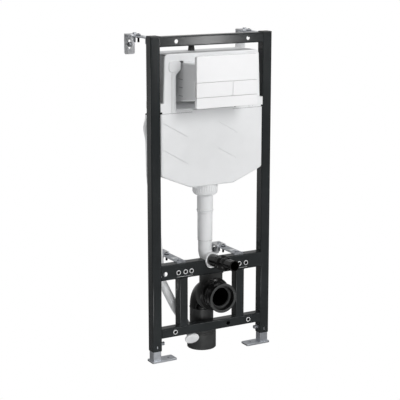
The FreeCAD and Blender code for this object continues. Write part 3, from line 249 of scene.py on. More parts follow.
class ToiletFrameStage(bpy.types.PropertyGroup):
    """Floor, lights and camera of the stage"""
    floor: bpy.props.StringProperty(name="Floor", description="Floor colour, sRGB hex", default="#F4F4F4")
    key: bpy.props.FloatProperty(
        name="Key light", description="Power of the large soft box", default=75.0, min=0.0, subtype="POWER")
    overhead: bpy.props.FloatProperty(
        name="Overhead light", description="Power of the soft box above", default=30.0, min=0.0,
        subtype="POWER")
    strip: bpy.props.FloatProperty(
        name="Strip light", description="Power of the strip that shines in the top bar", default=5.4, min=0.0,
        subtype="POWER")
    fill: bpy.props.FloatProperty(
        name="Low fill", description="Power of the low soft box at the left", default=0.7, min=0.0,
        subtype="POWER")
    side: bpy.props.FloatProperty(
        name="Side fill", description="Power of the soft box behind at the left", default=0.08, min=0.0,
        subtype="POWER")
    ambient: bpy.props.FloatProperty(
        name="Ambient", description="Light from the room all round", default=0.24, min=0.0)
    lens: bpy.props.FloatProperty(name="Lens", description="Camera lens", default=110.32, unit="CAMERA")
    camera: bpy.props.FloatVectorProperty(
        name="Camera", description="Camera place", size=3, subtype="TRANSLATION",
        default=(-2.19694, -3.82199, 1.54899))
    yaw: bpy.props.FloatProperty(
        name="Yaw", description="Turn of the camera to the right", default=0.51332, subtype="ANGLE")
    pitch: bpy.props.FloatProperty(
        name="Tilt", description="Tilt of the camera downwards", default=0.21527, subtype="ANGLE")


def metres(profile):
    """A profile of (radius, distance) pairs in millimetres, in metres."""
    return [(radius * MM, along * MM) for radius, along in profile]


def start_piece():
    """Leaves edit mode with nothing selected."""
    if bpy.context.object and bpy.context.object.mode == "EDIT":
        bpy.ops.object.mode_set(mode="OBJECT")
    bpy.ops.object.select_all(action="DESELECT")


def apply_modifier(piece, kind, **settings):
    """Adds a modifier to the active piece, sets it and applies it."""
    modifier = piece.modifiers.new(kind.title(), kind)
    for key, value in settings.items():
        setattr(modifier, key, value)
    bpy.ops.object.modifier_apply(modifier=modifier.name)


def join_pieces(pieces, name):
    """Joins pieces into one object whose place is in its mesh."""
    start_piece()
    for piece in pieces:
        piece.select_set(True)
    bpy.context.view_layer.objects.active = pieces[0]
    if len(pieces) > 1:
        bpy.ops.object.join()
    bpy.ops.object.transform_apply(location=True, rotation=True, scale=True)
    joined = bpy.context.object
    joined.name = name
    joined.data.name = name
    return joined


def finish_piece(piece, material, slot, angle=40):
    """Gives a finished piece its material, smooth shading and body; its slot argument is not used."""
    start_piece()
    piece.select_set(True)
    bpy.context.view_layer.objects.active = piece
    bpy.ops.object.shade_smooth_by_angle(angle=math.radians(angle))
    piece.data.materials.clear()
    piece.data.materials.append(bpy.data.materials[material])
    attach(piece, BODY)


def turned_piece(centre, axis, profile, sides=48, solid=False):
    """A turned form: a circle drawn out along an axis through the (radius, distance) pairs of a profile."""
    start_piece()
    centre = Vector(centre)
    axis = Vector(axis).normalized()
    radius, along = profile[0]
    bpy.ops.mesh.primitive_circle_add(vertices=sides, radius=radius, fill_type="NGON" if solid else "NOTHING",
                                      location=centre + axis * along,
                                      rotation=axis.to_track_quat("Z", "Y").to_euler())
    piece = bpy.context.object
    bpy.ops.object.transform_apply(location=True, rotation=True)
    bpy.ops.object.mode_set(mode="EDIT")
    bpy.ops.mesh.select_mode(type="FACE" if solid else "EDGE")
    bpy.ops.mesh.select_all(action="SELECT")
    for next_radius, next_along in profile[1:]:
        bpy.ops.mesh.extrude_region_move(TRANSFORM_OT_translate={"value": axis * (next_along - along)})
        growth = next_radius / radius
        bpy.ops.transform.resize(value=(growth, growth, growth), center_override=centre + axis * next_along)
        radius, along = next_radius, next_along
    bpy.ops.mesh.select_all(action="SELECT")
    bpy.ops.mesh.remove_doubles(threshold=0.001 * MM)
    bpy.ops.mesh.normals_make_consistent(inside=False)
    bpy.ops.object.mode_set(mode="OBJECT")
    return piece


def bevelled_block(low, high, edge, segments=2):
    """A block between two corners with rounded edges."""
    start_piece()
    low, high = Vector(low), Vector(high)
    bpy.ops.mesh.primitive_cube_add(size=1.0, location=(low + high) / 2)
    piece = bpy.context.object
    bpy.ops.object.mode_set(mode="EDIT")
    bpy.ops.mesh.select_all(action="SELECT")
    bpy.ops.transform.resize(value=high - low, center_override=(low + high) / 2)
    bpy.ops.object.mode_set(mode="OBJECT")
    bpy.ops.object.transform_apply(location=True)
    apply_modifier(piece, "BEVEL", width=edge, segments=segments, limit_method="NONE")
    return piece


def bevelled_disc(centre, radius, depth, sides, edge, segments):
    """A disc, or a hexagon where it has six sides, that faces the front, with rounded edges."""
    start_piece()
    bpy.ops.mesh.primitive_cylinder_add(vertices=sides, radius=radius, depth=depth, location=centre,
                                        rotation=(math.pi / 2, 0, 0))
    piece = bpy.context.object
    apply_modifier(piece, "BEVEL", width=edge, segments=segments, limit_method="ANGLE")
    return piece


def repeated(piece, places):
    """A piece modelled for the first of its places, and a copy with its own mesh for each other place."""
    copies = [piece]
    for place in places[1:]:
        start_piece()
        piece.select_set(True)
        bpy.context.view_layer.objects.active = piece
        bpy.ops.object.duplicate(linked=False)
        bpy.ops.transform.translate(value=Vector(place) - Vector(places[0]))
        copies.append(bpy.context.object)
    return copies


def thread_rings(start, axis, length, radius, pitch):
    """A stack of thread ridges round a bolt: one ridge, repeated at the pitch."""
    root, crest = radius - 0.2 * pitch, radius + 0.35 * pitch
    ridge = turned_piece(start, axis, [(root, 0), (root, 0.9 * pitch), (crest, 0.55 * pitch),
                                       (crest, 0.4 * pitch), (root, 0)], sides=20)
    apply_modifier(ridge, "ARRAY", count=max(2, int(length / pitch)), use_relative_offset=False,
                   use_constant_offset=True, constant_offset_displace=Vector(axis) * pitch)
    return ridge


def ribs_along(start, axis, section, rows, sides):
    """Ribs round a pipe: each row gives its radius and the distances along it, in mm, of equal ribs."""
    ribs = []
    for radius, distances in rows:
        places = [Vector(start) + Vector(axis) * distance * MM for distance in distances]
        profile = metres([(radius + rise, along) for rise, along in section])
        ribs += repeated(turned_piece(places[0], axis, profile, sides), places)
    return ribs


class TOILETFRAME_OT_stage(bpy.types.Operator):
    """Builds the floor, the room light, the soft boxes and the camera"""
    bl_idname = "toilet_frame.stage"
    bl_label = "Stage"

    def execute(self, context):
        stage = context.scene.toilet_frame_stage
        context.scene.view_settings.view_transform = "Standard"
        start_piece()
        bpy.ops.mesh.primitive_circle_add(vertices=96, radius=FLOOR_RADIUS, fill_type="NGON",
                                          location=(0, 0, -FLOOR_DROP))
        floor = context.object
        floor.name = "floor"
        bpy.ops.object.transform_apply(location=True)
        floor.data.materials.append(self.floor_material(linear(stage.floor)))
        self.room(context.scene, stage.ambient)
        for name, power, place, size, aim, spread, seen in SOFT_BOXES:
            lamp = self.soft_box(name, place, size, getattr(stage, power), aim)
            lamp.data.spread = math.radians(spread)
            lamp.visible_camera = seen
        bpy.ops.object.camera_add(location=stage.camera, rotation=(math.pi / 2 - stage.pitch, 0, -stage.yaw))
        camera = context.object
        camera.data.sensor_width = SENSOR_WIDTH
        camera.data.lens = stage.lens
        context.scene.camera = camera
        return {"FINISHED"}

    def soft_box(self, name, place, size, power, aim):
        """A rectangular lamp at a place, turned towards its aim."""
        bpy.ops.object.light_add(type="AREA", location=place)
        lamp = bpy.context.object
        lamp.name = name
        lamp.data.shape = "RECTANGLE"
        lamp.data.size, lamp.data.size_y = size
        lamp.data.energy = power
        lamp.rotation_euler = (Vector(aim) - lamp.location).to_track_quat("-Z", "Y").to_euler()
        return lamp

    def floor_material(self, colour):
        """Pale floor: it gives a bounce and a painted reflection, dimmed in front and glowing further back,
        and it shows the white room behind.

        The camera looks through it, so that legs drawn out below the frame's resting height stay in view.
        """
        material, tree, output, place = blank_material("pale studio floor")
        path = add_node(tree, "ShaderNodeLightPath")
        side = add_node(tree, "ShaderNodeSeparateXYZ", {"Vector": place})
        # Painted reflection: to glossy rays the floor's colour is dimmed in front, and a glow that is no lamp
        # rises further back, both set by place on the floor.
        depth = add_node(tree, "ShaderNodeMapRange", {"Value": (side, "Y"), "From Min": 0.7, "From Max": 3.0,
                                                      "To Min": 0.0, "To Max": 0.4})
        painted_reflection_dimming = add_node(tree, "ShaderNodeMapRange", {"Value": (side, "Y"), "From Min": -1.2, "From Max": 0.2,
                                                    "To Min": 0.35, "To Max": 0.43})
        painted_reflection_glow = add_node(tree, "ShaderNodeMath", {0: (path, "Is Glossy Ray"), 1: (depth, "Result")},
                            operation="MULTIPLY")
        seen = add_node(tree, "ShaderNodeMix", {"Factor": (path, "Is Glossy Ray"), "A": 1.0,
                                                "B": (painted_reflection_dimming, "Result")}, data_type="FLOAT")
        shade = add_node(tree, "ShaderNodeVectorMath", {0: colour[:3], "Scale": (seen, "Result")},
                         operation="SCALE")
        paint = add_node(tree, "ShaderNodeBsdfDiffuse", {"Color": (shade, "Vector")})
        light = add_node(tree, "ShaderNodeEmission", {"Color": (1, 1, 1, 1), "Strength": (painted_reflection_glow, "Value")})
        both = add_node(tree, "ShaderNodeAddShader", {0: (paint, "BSDF"), 1: (light, "Emission")})
        clear = add_node(tree, "ShaderNodeBsdfTransparent")
        passing = add_node(tree, "ShaderNodeMath", {0: (path, "Is Camera Ray"), 1: (path, "Is Shadow Ray")},
                           operation="MAXIMUM")
        shown = add_node(tree, "ShaderNodeMixShader", {0: (passing, "Value"), 1: (both, "Shader"),
                                                       2: (clear, "BSDF")})
        tree.links.new(shown.outputs["Shader"], output.inputs["Surface"])
        return material

    def room(self, scene, ambient):
        """White backdrop to the camera, soft light on surfaces, and a dimmer room in front in reflections."""
        world = bpy.data.worlds.new("studio room")
        world.use_nodes = True
        tree = world.node_tree
        tree.nodes.clear()
        output = add_node(tree, "ShaderNodeOutputWorld")
        path = add_node(tree, "ShaderNodeLightPath")
        place = add_node(tree, "ShaderNodeTexCoord")
        side = add_node(tree, "ShaderNodeSeparateXYZ", {"Vector": (place, "Generated")})
        depth = add_node(tree, "ShaderNodeMapRange", {"Value": (side, "Y"), "From Min": -0.5, "From Max": 0.5,
                                                      "To Min": 0.18, "To Max": 0.45})
        glossy = add_node(tree, "ShaderNodeMix", {"Factor": (path, "Is Glossy Ray"), "A": ambient,
                                                  "B": (depth, "Result")}, data_type="FLOAT")
        shown = add_node(tree, "ShaderNodeMath", {0: (path, "Is Camera Ray"),
                                                  1: (path, "Is Transmission Ray")}, operation="MAXIMUM")
        strength = add_node(tree, "ShaderNodeMix", {"Factor": (shown, "Value"), "A": (glossy, "Result"),
                                                    "B": 1.0}, data_type="FLOAT")
        light = add_node(tree, "ShaderNodeBackground", {"Color": (1, 1, 1, 1),
                                                        "Strength": (strength, "Result")})
        tree.links.new(light.outputs["Background"], output.inputs["Surface"])
        scene.world = world


class TOILETFRAME_OT_finishes(bpy.types.Operator):
    """Makes the finishes and gives every piece of the frame its own"""
    bl_idname = "toilet_frame.finishes"
    bl_label = "Finishes"

    def execute(self, context):
        tone = context.scene.toilet_frame_finish
        finishes = {
            COAT[1]: powder_coated_steel(tone.coat),
            ZINC[1]: zinc_plated_steel(ZINC[0], tone.zinc, metal=1.0, rough=0.5),
            WHITE[1]: moulded_white(WHITE[0], tone.shell, rough=0.42, flow_mm=60),
            GLOSS[1]: moulded_white(GLOSS[0], tone.plate, rough=0.24, flow_mm=120),
            PIPE[1]: black_moulding(PIPE[0], tone.pipe, rough=0.15, grain_mm=2.5, strength=0.06, gloss=0.34),
            RUBBER[1]: black_moulding(RUBBER[0], tone.rubber, rough=0.09, grain_mm=1.5, strength=0.04,
                                      gloss=0.42),
            NYLON[1]: black_moulding(NYLON[0], tone.nylon, rough=0.45, grain_mm=1.0, strength=0.2, gloss=0.5),
        }
        sheet = zinc_plated_steel("galvanised steel sheet", tone.sheet, metal=0.45, rough=0.42)
        for part in frame["record"]["subparts"]:
            node = frame["nodes"][part["node"]]
            stamped = part["node"].endswith("_wall_bracket")
            node.data.materials.clear()
            node.data.materials.append(sheet if stamped else finishes[part["material_slot"]])
        return {"FINISHED"}


class TOILETFRAME_OT_wall_screws(bpy.types.Operator):
    """Adds a wall screw with a black washer in the slot of each wall bracket"""
    bl_idname = "toilet_frame.wall_screws"
    bl_label = "Wall Screws"

    def execute(self, context):
        detail = context.scene.toilet_frame_detail
        plate, thick = 4.0 * MM, 2.4 * MM
        share_of_height = {"top": 0.47, "middle": 0.4}
        places = []
        for level in LEVELS:
            for side in SIDES:
                low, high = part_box(side + "_" + level + "_wall_bracket")
                z = low.z + (high.z - low.z) * share_of_height[level]
                places.append(Vector(((low.x + high.x) / 2, high.y - plate, z)))
        front = Vector(TO_FRONT)
        washer = bevelled_disc(places[0] + front * thick / 2, detail.washer, thick, sides=36, edge=0.6 * MM,
                               segments=2)
        finish_piece(join_pieces(repeated(washer, places), "wall_screw_washers"), *NYLON)
        head = self.head(places[0] + front * thick, detail.screw)
        finish_piece(join_pieces(repeated(head, places), "wall_screw_heads"), *ZINC)
        return {"FINISHED"}

    def head(self, seat, radius):
        """A flanged six-sided head with rounded edges, in front of its seat."""
        front = Vector(TO_FRONT)
        thick, tall, above = 1.3 * MM, 4.5 * MM, 3.4 * MM
        hexagon = bevelled_disc(seat + front * above, radius, tall, sides=6, edge=0.7 * MM, segments=3)
        flange = bevelled_disc(seat + front * thick / 2, radius * 1.25, thick, sides=32, edge=0.5 * MM,
                               segments=2)
        return join_pieces([hexagon, flange], "screw_head")


class TOILETFRAME_OT_bolt_threads(bpy.types.Operator):
    """Lays thread ridges round the strap bolts and the clamp bolts"""
    bl_idname = "toilet_frame.bolt_threads"
    bl_label = "Bolt Threads"

    def execute(self, context):
        pitch = context.scene.toilet_frame_detail.pitch
        radius = 4.0 * MM
        set_back, drop = 17.5 * MM, 28.5 * MM
        past_end = 5.2 * MM
        places = []
        for level in LEVELS:
            for side in SIDES:
                low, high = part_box(side + "_" + level + "_strap")
                bracket_low, bracket_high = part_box(side + "_" + level + "_wall_bracket")
                places.append(Vector(((low.x + high.x) / 2, bracket_low.y + set_back, bracket_high.z - drop)))
        ridges = repeated(thread_rings(places[0], UP, 14.0 * MM, radius, pitch), places)
        for side, inward in (("left", -1), ("right", 1)):
            low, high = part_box(side + "_leg_bolt")
            end = high.x if inward < 0 else low.x
            start = (end + inward * past_end, (low.y + high.y) / 2, (low.z + high.z) / 2)
            ridges.append(thread_rings(start, (inward, 0, 0), 4.6 * MM, radius, pitch))
        finish_piece(join_pieces(ridges, "bolt_threads"), *ZINC, angle=60)
        return {"FINISHED"}


class TOILETFRAME_OT_weld_beads(bpy.types.Operator):
    """Lays weld beads where the bars and short posts meet the tubes"""
    bl_idname = "toilet_frame.weld_beads"
    bl_label = "Weld Beads"

    def execute(self, context):
        size = context.scene.toilet_frame_detail.bead
        sunk = 0.3 * size
        front_gap, back_gap, post_gap = 14 * MM, 2 * MM, 4 * MM
        beads = []
        for bar in ("top_bar", "middle_bar", "lower_bar"):
            low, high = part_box(bar)
            start, stop = low.y + front_gap, high.y - back_gap
            places = [(x, start, z) for x in (low.x + sunk, high.x - sunk) for z in (low.z, high.z)]
            beads += self.beads(places, stop - start, size)
        places = []
        for side in SIDES:
            low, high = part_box(side + "_short_post")
            start, stop = low.y + post_gap, high.y - post_gap
            places += [(x, start, z) for x in (low.x, high.x) for z in (low.z + sunk, high.z - sunk)]
        beads += self.beads(places, stop - start, size)
        finish_piece(join_pieces(beads, "weld_beads"), *COAT, angle=60)
        return {"FINISHED"}

    def beads(self, places, length, size):
        """Equal beads: a flat drop of weld, repeated along the seam so that its ripples overlap."""
        start_piece()
        bpy.ops.mesh.primitive_uv_sphere_add(segments=10, ring_count=6, radius=size, location=places[0])
        drop = bpy.context.object
        bpy.ops.object.mode_set(mode="EDIT")
        bpy.ops.transform.resize(value=(1, 1.15, 1))
        bpy.ops.object.mode_set(mode="OBJECT")
        step = size * 1.1
        apply_modifier(drop, "ARRAY", count=max(2, int(length / step)), use_relative_offset=False,
                       use_constant_offset=True, constant_offset_displace=(0, step, 0))
        return repeated(drop, places)


class TOILETFRAME_OT_thread_plugs(bpy.types.Operator):
    """Sets a black thread plug on each bowl nut and lower nut, inside a white ring that is a painted
    highlight of the nut's zinc flange
    """
    bl_idname = "toilet_frame.thread_plugs"
    bl_label = "Thread Plugs"

    def execute(self, context):
        radius = context.scene.toilet_frame_detail.plug
        depth = 7.0 * MM
        places = []
        for side, inner in (("left", 1), ("right", -1)):
            low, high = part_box(side + "_bowl_nuts")
            start = low.x if inner < 0 else high.x
            for step in (15.0, 40.0, 69.0):
                places.append(Vector((start - inner * step * MM, low.y, (low.z + high.z) / 2)))
            low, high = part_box(side + "_lower_nut")
            places.append(Vector(((low.x + high.x) / 2, low.y, (low.z + high.z) / 2)))
        shank = [(radius, 0), (radius, 6.6 * MM)]
        cap = [(6.6, 6.9), (6.6, 7.4), (6.1, 7.8), (3.0, 7.8), (2.7, 7.5), (2.7, 4.0)]
        plug = turned_piece(places[0] + Vector(TO_WALL) * depth, TO_FRONT, shank + metres(cap), sides=32,
                            solid=True)
        finish_piece(join_pieces(repeated(plug, places), "thread_plugs"), *RUBBER, angle=50)
        # Painted highlight: the ring is white so that it shows the bright glint of the zinc flange round each
        # nut.
        collar = [(6.3, 0.4), (6.4, -0.5), (6.8, -1.2), (7.5, -1.5), (8.2, -1.2), (8.7, -0.5), (8.8, 0.4),
                  (6.3, 0.4)]
        ring = turned_piece(places[0], TO_WALL, metres(collar), sides=40)
        finish_piece(join_pieces(repeated(ring, places), "stud_rings"), *WHITE, angle=60)
        return {"FINISHED"}


class TOILETFRAME_OT_waste_seal(bpy.types.Operator):
    """Fits the lip seal in the mouth of the waste socket, the matt rim on its face and the ribs round it"""
    bl_idname = "toilet_frame.waste_seal"
    bl_label = "Waste Seal"

    def execute(self, context):
        low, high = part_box("waste_socket")
        place = (0, low.y, (low.z + high.z) / 2)
        lip = [(45.0, 20.5), (45.0, 28.0), (36.0, 28.0), (35.2, 27.0), (35.2, 19.2), (35.8, 17.9),
               (37.0, 17.3), (39.8, 17.3), (41.0, 17.9), (41.6, 19.2), (41.8, 20.5), (45.0, 20.5)]
        seal = turned_piece(place, TO_WALL, metres(lip), sides=96)
        finish_piece(join_pieces([seal], "waste_seal"), *NYLON, angle=50)
        rim = [(46.0, 0.6), (45.6, 0.0), (46.2, -0.7), (47.0, -1.0), (53.6, -1.0), (54.4, -0.7), (54.8, 0.0),
               (54.4, 0.6), (46.0, 0.6)]
        ring = turned_piece(place, TO_WALL, metres(rim), sides=96)
        finish_piece(join_pieces([ring], "socket_rim"), *NYLON, angle=50)
        section = [(-0.5, -1.4), (0.3, -1.2), (1.0, -0.5), (1.0, 0.5), (0.3, 1.2), (-0.5, 1.4), (-0.5, -1.4)]
        rows = ((53.5, (16.0, 23.0)), (49.0, (50.5, 54.5)), (61.0, (62.0,)))
        ribs = ribs_along(place, TO_WALL, section, rows, sides=96)
        finish_piece(join_pieces(ribs, "socket_ribs"), *PIPE, angle=60)
        return {"FINISHED"}


class TOILETFRAME_OT_pad_edges(bpy.types.Operator):
    """Lays a thin white strip along the foot of each stud pad, a painted highlight on the pad's lower edge"""
    bl_idname = "toilet_frame.pad_edges"
    bl_label = "Pad Edges"

    def execute(self, context):
        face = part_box("middle_bar")[0].y
        end, half, drop = 9 * MM, 0.9 * MM, 16.3 * MM
        low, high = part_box("left_bowl_nuts")
        foot = (low.z + high.z) / 2 - drop
        # Painted highlight: the white strip stands for the light caught on the lower edge of the pad.
        strip = bevelled_block((low.x + end, face + 0.25 * MM, foot - half),
                               (high.x - end, face + 1.2 * MM, foot + half), 0.3 * MM)
        painted_highlight_strips = repeated(strip, [low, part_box("right_bowl_nuts")[0]])
        finish_piece(join_pieces(painted_highlight_strips, "pad_edges"), *WHITE)
        return {"FINISHED"}


class TOILETFRAME_OT_seam_fittings(bpy.types.Operator):
    """Adds the clips and recess lips along the cistern's seam, dark blocks at its ends that paint the shade
    in the notches there, and thin dark lines that paint the shadow of the seam's step
    """
    bl_idname = "toilet_frame.seam_fittings"
    bl_label = "Seam Fittings"

    def execute(self, context):
        low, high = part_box("cistern_lower_shell")
        face, seam = low.y, high.z
        recess = 84.0 * MM
        places = [(x * MM, face + 0.3 * MM, seam + 8.0 * MM) for x in (92.7, 166.5)]
        profile = [(2.6, 0), (2.6, 1.1), (2.0, 1.7), (1.2, 1.7), (1.0, 0.5)]
        clip = turned_piece(places[0], TO_FRONT, metres(profile), sides=24, solid=True)
        finish_piece(join_pieces(repeated(clip, places), "seam_clips"), *NYLON)
        # Painted shade: dark rubber blocks stand for the shade in the notches at the seam's ends.
        painted_end_shade = self.pair(low.x + 0.4 * MM, high.x - 6.6 * MM, 6.2 * MM, (face + 0.8 * MM, face + 4.2 * MM),
                            (seam - 0.5 * MM, seam + 6.6 * MM), 0.5 * MM)
        finish_piece(join_pieces(painted_end_shade, "seam_gaskets"), *RUBBER)
        lips = self.pair(-148.0 * MM, recess, 64.0 * MM, (face + 0.6 * MM, face + 4.0 * MM),
                         (seam + 1.0 * MM, seam + 13.0 * MM), 0.8 * MM)
        finish_piece(join_pieces(lips, "recess_lips"), *WHITE)
        # Painted shadow: thin dark strips draw the shadow line under the step along the seam.
        start = low.x + 7 * MM
        seam_shadow_lines = self.pair(start, recess, -recess - start, (face - 0.15 * MM, face + 0.6 * MM),
                           (seam - 0.45 * MM, seam + 0.45 * MM), 0.15 * MM)
        finish_piece(join_pieces(seam_shadow_lines, "seam_joints"), *NYLON)
        return {"FINISHED"}

    def pair(self, left, right, length, depth, height, edge):
        """Two equal blocks that start at two places along the seam."""
        block = bevelled_block((left, depth[0], height[0]), (left + length, depth[1], height[1]), edge)
        return repeated(block, [(left, 0, 0), (right, 0, 0)])


class TOILETFRAME_OT_strap_fittings(bpy.types.Operator):
    """Bolts a stop to each strap near its bracket, clips its window shut and screws its front end down"""
    bl_idname = "toilet_frame.strap_fittings"
    bl_label = "Strap Fittings"

    def execute(self, context):
        pitch = context.scene.toilet_frame_detail.pitch
        washer_thick, strap_thick = 1.2 * MM, 3.5 * MM
        bracket_rise, stop_reach, window_reach = 4.0 * MM, 14.0 * MM, 75.0 * MM
        stud_drop, stud_length = 20.0 * MM, 32.0 * MM
        thread_drop, thread_length, thread_radius = 19.0 * MM, 13.0 * MM, 3.6 * MM
        # How far behind a strap's front edge, and above its upper face, the fitting at its front end sits.
        end_fits = {"top": (3.5 * MM, -11.0 * MM), "middle": (14.0 * MM, 0.0)}
        up = Vector(UP)
        stops, windows = [], []
        ends = {"top": [], "middle": []}
        for level in LEVELS:
            for side in SIDES:
                low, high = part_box(side + "_" + level + "_strap")
                bracket_low, bracket_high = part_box(side + "_" + level + "_wall_bracket")
                x = (low.x + high.x) / 2
                top = bracket_high.z - bracket_rise
                stops.append(Vector((x, bracket_low.y - stop_reach, top)))
                windows.append(Vector((x, bracket_low.y - window_reach, top)))
                inset, rise = end_fits[level]
                ends[level].append(Vector((x, low.y + inset, top + rise)))
        under = stops[0] - up * strap_thick
        dark = repeated(self.washer(stops[0], UP, 9.5 * MM), stops)
        bright = repeated(self.nut(stops[0] + up * washer_thick, UP), stops)
        dark += repeated(self.stud(under - up * stud_drop, UP, stud_length), stops)
        ridges = thread_rings(under - up * thread_drop, UP, thread_length, thread_radius, pitch)
        dark += repeated(ridges, stops)
        dark += repeated(self.nut(under, DOWN), stops)
        for level, axis in (("top", TO_WALL), ("middle", UP)):
            place = ends[level][0]
            dark += repeated(self.washer(place, axis, 8.5 * MM), ends[level])
            bright += repeated(self.nut(place + Vector(axis) * washer_thick, axis), ends[level])
        clip = bevelled_block(windows[0] - Vector((12, 8.5, 0.3)) * MM,
                              windows[0] + Vector((12, 8.5, 1.5)) * MM, 0.7 * MM, 3)
        finish_piece(join_pieces(bright, "strap_nuts"), *ZINC, angle=30)
        finish_piece(join_pieces(dark, "strap_washers"), *RUBBER, angle=30)
        finish_piece(join_pieces(repeated(clip, windows), "strap_clips"), *WHITE)
        return {"FINISHED"}

    def washer(self, place, axis, radius):
        """A thin disc with chamfered rims."""
        rim = radius - 0.5 * MM
        return turned_piece(place, axis, [(rim, 0), (radius, 0.3 * MM), (radius, 0.9 * MM), (rim, 1.2 * MM)],
                            sides=32, solid=True)

    def nut(self, place, axis):
        """A chamfered six-sided nut with a shallow dished top."""
        profile = [(6.6, 0), (7.2, 0.5), (7.2, 4.3), (6.2, 5.0), (4.4, 5.0), (4.0, 4.4)]
        return turned_piece(place, axis, metres(profile), sides=6, solid=True)

    def stud(self, place, axis, length):
        """A plain stud with chamfered ends."""
        chamfer = 0.8 * MM
        profile = [(3.0 * MM, 0), (3.8 * MM, chamfer), (3.8 * MM, length - chamfer), (3.0 * MM, length)]
        return turned_piece(place, axis, profile, sides=24, solid=True)


class TOILETFRAME_OT_recess_trim(bpy.types.Operator):
    """Adds the rounded mouldings beside the recess, the hood above the shaft, and thin dark inlays in its
    sides that paint the shadow lines under small steps there
    """
    bl_idname = "toilet_frame.recess_trim"
    bl_label = "Recess Trim"

    def execute(self, context):
        low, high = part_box("cistern_lower_shell")
        shaft_low, shaft_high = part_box("service_shaft")
        face, seam, top = low.y, high.z, shaft_high.z
        columns = [self.column(outer=side * 172.5 * MM, inner=side * 148.5 * MM, flared=side * 137.0 * MM,
                               face=face, foot=seam + 1.0 * MM, top=seam + 147.0 * MM) for side in (-1, 1)]
        finish_piece(join_pieces(columns, "recess_columns"), *WHITE, angle=60)
        hood = bevelled_block((shaft_low.x + 1 * MM, face - 0.6 * MM, top - 0.2 * MM),
                              (shaft_high.x - 1 * MM, face + 14 * MM, top + 5.6 * MM), 1.2 * MM, 3)
        finish_piece(join_pieces([hood], "shaft_hood"), *WHITE)
        # Painted shade: thin dark inlays in the shaft's sides stand for the shadow lines under the small
        # steps there.
        proud = 0.25 * MM
        slot = bevelled_block((shaft_low.x - proud, face + 3 * MM, top - 62.6 * MM),
                              (shaft_low.x + 2 * proud, face + 32 * MM, top - 61.4 * MM), 0.2 * MM)
        across = shaft_high.x - shaft_low.x - proud
        drops = (0, -29.5 * MM, -59.5 * MM)
        shaft_shadow_lines = repeated(slot, [(x, 0, z) for x in (0, across) for z in drops])
        finish_piece(join_pieces(shaft_shadow_lines, "shaft_slots"), *NYLON)
        return {"FINISHED"}

    def column(self, outer, inner, flared, face, foot, top):
        """A rounded moulding whose inner side widens into the lug above it."""
        start_piece()
        width = inner - outer
        middle = Vector((outer + width / 2, face + 6.0 * MM, foot))
        bpy.ops.mesh.primitive_circle_add(vertices=48, radius=abs(width) / 2, fill_type="NGON",
                                          location=middle)
        piece = bpy.context.object
        bpy.ops.object.transform_apply(location=True)
        bpy.ops.object.mode_set(mode="EDIT")
        bpy.ops.mesh.select_mode(type="FACE")
        bpy.ops.mesh.select_all(action="SELECT")
        bpy.ops.transform.resize(value=(1, 0.75, 1), center_override=middle)
        height = top - foot
        risen = 0
        for share, below in ((0.0, 18.0), (0.08, 14.0), (0.3, 9.5), (0.65, 5.5), (0.9, 2.5), (1.0, 0.0)):
            rise = height - below * MM
            bpy.ops.mesh.extrude_region_move(TRANSFORM_OT_translate={"value": (0, 0, rise - risen)})
            wider = inner + (flared - inner) * share - outer
            bpy.ops.transform.resize(value=(wider / width, 1, 1), center_override=(outer, face, foot + rise))
            width, risen = wider, rise
        bpy.ops.mesh.select_all(action="SELECT")
        bpy.ops.mesh.normals_make_consistent(inside=False)
        bpy.ops.object.mode_set(mode="OBJECT")
        return piece


class TOILETFRAME_OT_inlet_sleeve(bpy.types.Operator):
    """Slips the glossy sleeve over the water inlet"""
    bl_idname = "toilet_frame.inlet_sleeve"
    bl_label = "Inlet Sleeve"

    def execute(self, context):
        low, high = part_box("inlet_fitting")
        place = ((low.x + high.x) / 2, (low.y + high.y) / 2, low.z)
        profile = [(10.4, 7.5), (11.6, 7.5), (11.6, 10.0), (11.0, 10.6), (11.0, 25.0), (11.8, 26.0),
                   (11.8, 29.5), (11.2, 30.3), (10.4, 30.3), (10.4, 7.5)]
        sleeve = turned_piece(place, UP, metres(profile), sides=48)
        finish_piece(join_pieces([sleeve], "inlet_sleeve"), *RUBBER, angle=40)
        return {"FINISHED"}


class TOILETFRAME_OT_flush_seals(bpy.types.Operator):
    """Adds the rounded beads of the flush connector, and under the flush pipe's end a dark ring that paints
    the shadow in the joint's gap
    """
    bl_idname = "toilet_frame.flush_seals"
    bl_label = "Flush Seals"

    def execute(self, context):
        low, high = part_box("flush_connector")
        set_in, rise, tilt = 17.95 * MM, 24.3 * MM, math.radians(5)
        mouth = (0, high.y - set_in, low.z + rise)
        heading = (0, -math.cos(tilt), math.sin(tilt))
        section = [(-0.6, -1.8), (0.5, -1.4), (1.1, -0.5), (1.1, 0.5), (0.5, 1.4), (-0.6, 1.8), (-0.6, -1.8)]
        rows = ((26.5, (62.0, 74.0)), (23.0, (97.0, 104.5)), (19.5, (157.0,)))
        beads = ribs_along(mouth, heading, section, rows, sides=72)
        finish_piece(join_pieces(beads, "connector_beads"), *RUBBER, angle=60)
        # Painted shadow: a thin dark ring under the pipe's end stands for the shadow in the joint's gap.
        low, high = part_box("flush_pipe")
        place = (0, (low.y + high.y) / 2, low.z)
        ring = [(25.7, 0.0), (28.0, 0.0), (28.1, -0.2), (28.0, -0.5), (25.7, -0.5), (25.7, 0.0)]
        seal = turned_piece(place, UP, metres(ring), sides=72)
        finish_piece(join_pieces([seal], "flush_pipe_seal"), *NYLON, angle=40)
        return {"FINISHED"}


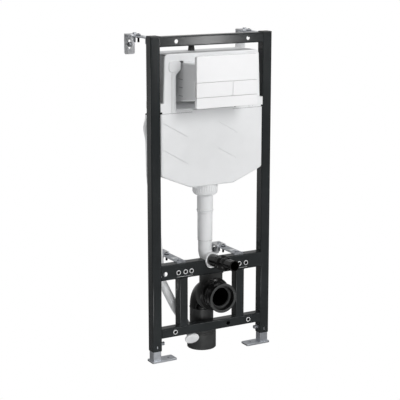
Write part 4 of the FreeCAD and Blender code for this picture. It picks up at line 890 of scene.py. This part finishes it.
class TOILETFRAME_PT_panel(bpy.types.Panel):
    """Lists the operators in the order in which they run, and their settings"""
    bl_idname = "TOILETFRAME_PT_panel"
    bl_label = "Toilet Frame"
    bl_space_type = "VIEW_3D"
    bl_region_type = "UI"
    bl_category = "Toilet Frame"

    def draw(self, context):
        for operator in OPERATORS:
            self.layout.operator(operator.bl_idname)
        for name, group in GROUPS:
            for key in group.__annotations__:
                self.layout.prop(getattr(context.scene, name), key)


GROUPS = (("toilet_frame_finish", ToiletFrameFinish), ("toilet_frame_detail", ToiletFrameDetail),
          ("toilet_frame_stage", ToiletFrameStage))
OPERATORS = (TOILETFRAME_OT_stage, TOILETFRAME_OT_finishes, TOILETFRAME_OT_wall_screws,
             TOILETFRAME_OT_bolt_threads, TOILETFRAME_OT_weld_beads, TOILETFRAME_OT_thread_plugs,
             TOILETFRAME_OT_waste_seal, TOILETFRAME_OT_pad_edges, TOILETFRAME_OT_seam_fittings,
             TOILETFRAME_OT_strap_fittings, TOILETFRAME_OT_recess_trim, TOILETFRAME_OT_inlet_sleeve,
             TOILETFRAME_OT_flush_seals)


def register():
    for name, group in GROUPS:
        bpy.utils.register_class(group)
        setattr(bpy.types.Scene, name, bpy.props.PointerProperty(type=group))
    for operator in OPERATORS:
        bpy.utils.register_class(operator)
    bpy.utils.register_class(TOILETFRAME_PT_panel)


def unregister():
    bpy.utils.unregister_class(TOILETFRAME_PT_panel)
    for operator in reversed(OPERATORS):
        bpy.utils.unregister_class(operator)
    for name, group in reversed(GROUPS):
        delattr(bpy.types.Scene, name)
        bpy.utils.unregister_class(group)


def main():
    register()
    bpy.ops.toilet_frame.stage()
    bpy.ops.toilet_frame.finishes()
    bpy.ops.toilet_frame.wall_screws()
    bpy.ops.toilet_frame.bolt_threads()
    bpy.ops.toilet_frame.weld_beads()
    bpy.ops.toilet_frame.thread_plugs()
    bpy.ops.toilet_frame.waste_seal()
    bpy.ops.toilet_frame.pad_edges()
    bpy.ops.toilet_frame.seam_fittings()
    bpy.ops.toilet_frame.strap_fittings()
    bpy.ops.toilet_frame.recess_trim()
    bpy.ops.toilet_frame.inlet_sleeve()
    bpy.ops.toilet_frame.flush_seals()


if __name__ == "__main__":
    main()
